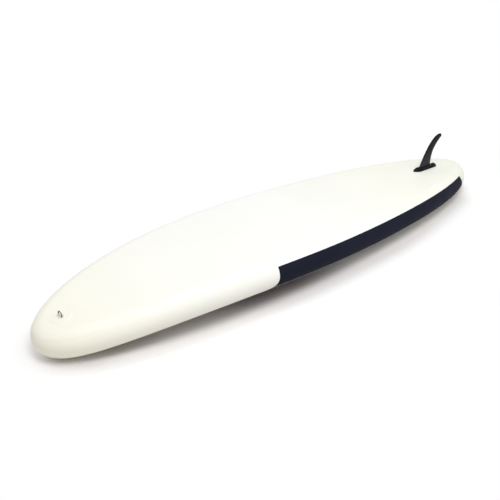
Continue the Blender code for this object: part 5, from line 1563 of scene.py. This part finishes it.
def floor_tone(tree, place):
    """The shade that the board leaves on the floor, blended between its regions."""
    contact = add_node(tree, "AmbientOcclusion", {"Distance": CONTACT_REACH}, "AO", samples=16)
    along = add_node(tree, "SeparateXYZ", {"Vector": place}, "X")
    tone = ramp(tree, contact, shade_stops(MIDDLE_SHADE))
    for start, end, shade in SHADE_CHANGES:
        share = share_between(tree, along, start, end)
        tone = blended(tree, share, tone, ramp(tree, contact, shade_stops(shade)))
    return tone


def floor_look():
    """White with the board's shade to camera and glossy rays, plain to all others, and clear from below."""
    material, tree, shader = new_material("floor_look")
    set_inputs(shader, {"Base Color": opaque(FLOOR_BOUNCE), "Roughness": 1.0, "Specular IOR Level": 0.0})
    place = add_node(tree, "TexCoord", {}, "Object")
    tone = floor_tone(tree, place)
    bright = add_node(tree, "BsdfDiffuse", {"Color": tone})
    glow = add_node(tree, "Emission", {"Color": tone, "Strength": FLOOR_GLOW})
    white = add_node(tree, "Emission", {})
    shaded = add_node(tree, "AddShader", {0: bright, 1: glow})
    # Painted light: the shade in front of the nose is blended towards white.
    ahead = add_node(tree, "VectorMath", {0: place, 1: NOSE_FRONT_WAY}, "Value", operation="DOT_PRODUCT")
    before_nose = share_between(tree, ahead, NOSE_FRONT_FROM, NOSE_FRONT_TO, "SMOOTHSTEP", NOSE_FRONT_SHARE)
    shaded = mixed_shader(tree, before_nose, shaded, white)
    stretched = add_node(tree, "Mapping", {
        "Vector": place, "Scale": (1.0 / FLOOR_REACH[0], 1.0 / FLOOR_REACH[1], 1.0),
        "Location": (0.0, FLOOR_SHIFT / FLOOR_REACH[1], 0.0)})
    distance = add_node(tree, "VectorMath", {0: stretched}, "Value", operation="LENGTH")
    shaded = mixed_shader(tree, share_between(tree, distance, 1.0, FLOOR_FADE, "SMOOTHSTEP"), shaded, white)
    chosen = mixed_shader(tree, either_ray(tree, "Camera", "Glossy"), shader.outputs[0], shaded)
    behind = add_node(tree, "NewGeometry", {}, "Backfacing")
    surface = mixed_shader(tree, behind, chosen, add_node(tree, "BsdfTransparent", {}))
    set_inputs(tree.nodes["Material Output"], {"Surface": surface})
    return material


def make_stage():
    bm = bmesh.new()
    bmesh.ops.create_grid(bm, x_segments=1, y_segments=1, size=FLOOR_SIZE)
    floor = placed("floor", mesh_of("floor", bm))
    floor.data.materials.append(floor_look())
    floor.location = (0.0, 0.0, FLOOR_LEVEL)


def make_light():
    world = bpy.data.worlds.new("studio")
    bpy.context.scene.world = world
    world.use_nodes = True
    tree = world.node_tree
    dome = tree.nodes["Background"]
    set_inputs(dome, {"Color": opaque(grey(1.0)), "Strength": WORLD_LIGHT})
    white = add_node(tree, "Background", {"Color": opaque(grey(1.0)), "Strength": 1.0})
    seen = either_ray(tree, "Camera", "Glossy", "Transmission")
    set_inputs(tree.nodes["World Output"], {"Surface": mixed_shader(tree, seen, dome.outputs[0], white)})
    lamp = bpy.data.lights.new("key_light", "AREA")
    lamp.shape = "DISK"
    lamp.size = KEY_SIZE
    lamp.energy = KEY_POWER
    key = placed("key_light", lamp)
    key.location = KEY_PLACE
    key.rotation_euler = (-Vector(KEY_PLACE)).to_track_quat("-Z", "Y").to_euler()


def make_camera():
    forward = Vector((math.sin(CAMERA_YAW) * math.cos(CAMERA_PITCH),
                      math.cos(CAMERA_YAW) * math.cos(CAMERA_PITCH), math.sin(CAMERA_PITCH)))
    level = Vector((math.cos(CAMERA_YAW), -math.sin(CAMERA_YAW), 0.0))
    upright = level.cross(forward)
    right = level * math.cos(CAMERA_ROLL) + upright * math.sin(CAMERA_ROLL)
    up = upright * math.cos(CAMERA_ROLL) - level * math.sin(CAMERA_ROLL)
    local = Matrix((right, up, -forward)).transposed().to_4x4()
    local.translation = Vector(CAMERA_PLACE)
    data = bpy.data.cameras.new("camera")
    data.sensor_width = SENSOR_WIDTH_MM
    data.lens = FOCAL_PIXELS / FRAME_PIXELS * SENSOR_WIDTH_MM
    data.clip_end = 100.0
    camera = placed("camera", data)
    camera.matrix_world = REST @ local
    bpy.context.scene.camera = camera


def dress_nodes():
    """Gives each construction piece the finish of its slot."""
    for row in frame["record"]["subparts"]:
        materials = frame["nodes"][row["node"]].data.materials
        materials.clear()
        materials.append(SLOT_MATERIALS[row["material_slot"]])


bpy.context.scene.view_settings.view_transform = "Standard"
make_camera()
dress_nodes()
make_sheet("hull_sheet", "hull_skin", HULL, HULL_SEAM_ANGLE)
deck_sheet = make_sheet("deck_sheet", "deck_skin", DECK, DECK_SEAM_ANGLE)
nose_columns = wrap_columns(TIP_STATION, NOSE_BREAK, nose_break)
tail_columns = wrap_columns(END_STATION, TAIL_BREAK, tail_break)
make_rail("nose_wrap", "nose_rail_wrap", WHITE, nose_columns, WRAP_LIFT, WRAP_THICKNESS)
make_rail("tail_wrap", "tail_rail_wrap", WHITE, tail_columns, WRAP_LIFT, WRAP_THICKNESS)
make_rail("starboard_panel", "starboard_rail_panel", NAVY, panel_columns(STARBOARD), 0.0, PANEL_THICKNESS)
make_rail("port_panel", "port_rail_panel", NAVY, panel_columns(PORT), 0.0, PANEL_THICKNESS)
make_ring_set("tow", ("nose_ring_patch", "nose_ring_loop", "nose_tow_ring"), HULL, TOW_RING, "tow_ring",
              (WHITE, WHITE_WEBBING, DARKENED_STEEL, WHITE_THREAD))
dark_looks = (DARK, WEBBING, STEEL, THREAD)
for number, ring in enumerate(CARGO_RINGS, 1):
    replaced = [f"cargo_{word}_{number}" for word in ("patch", "loop", "ring")]
    make_ring_set(f"cargo_{number}", replaced, DECK, ring, f"cargo_ring_{number}", dark_looks)
make_ring_set("tail_leash", ("leash_patch", "leash_loop", "leash_ring"), DECK, LEASH_RING, "leash_ring",
              dark_looks)
make_deck_pad()
make_kick_pad()
make_handle()
make_valve(deck_sheet)
make_fin()
make_stage()
make_light()
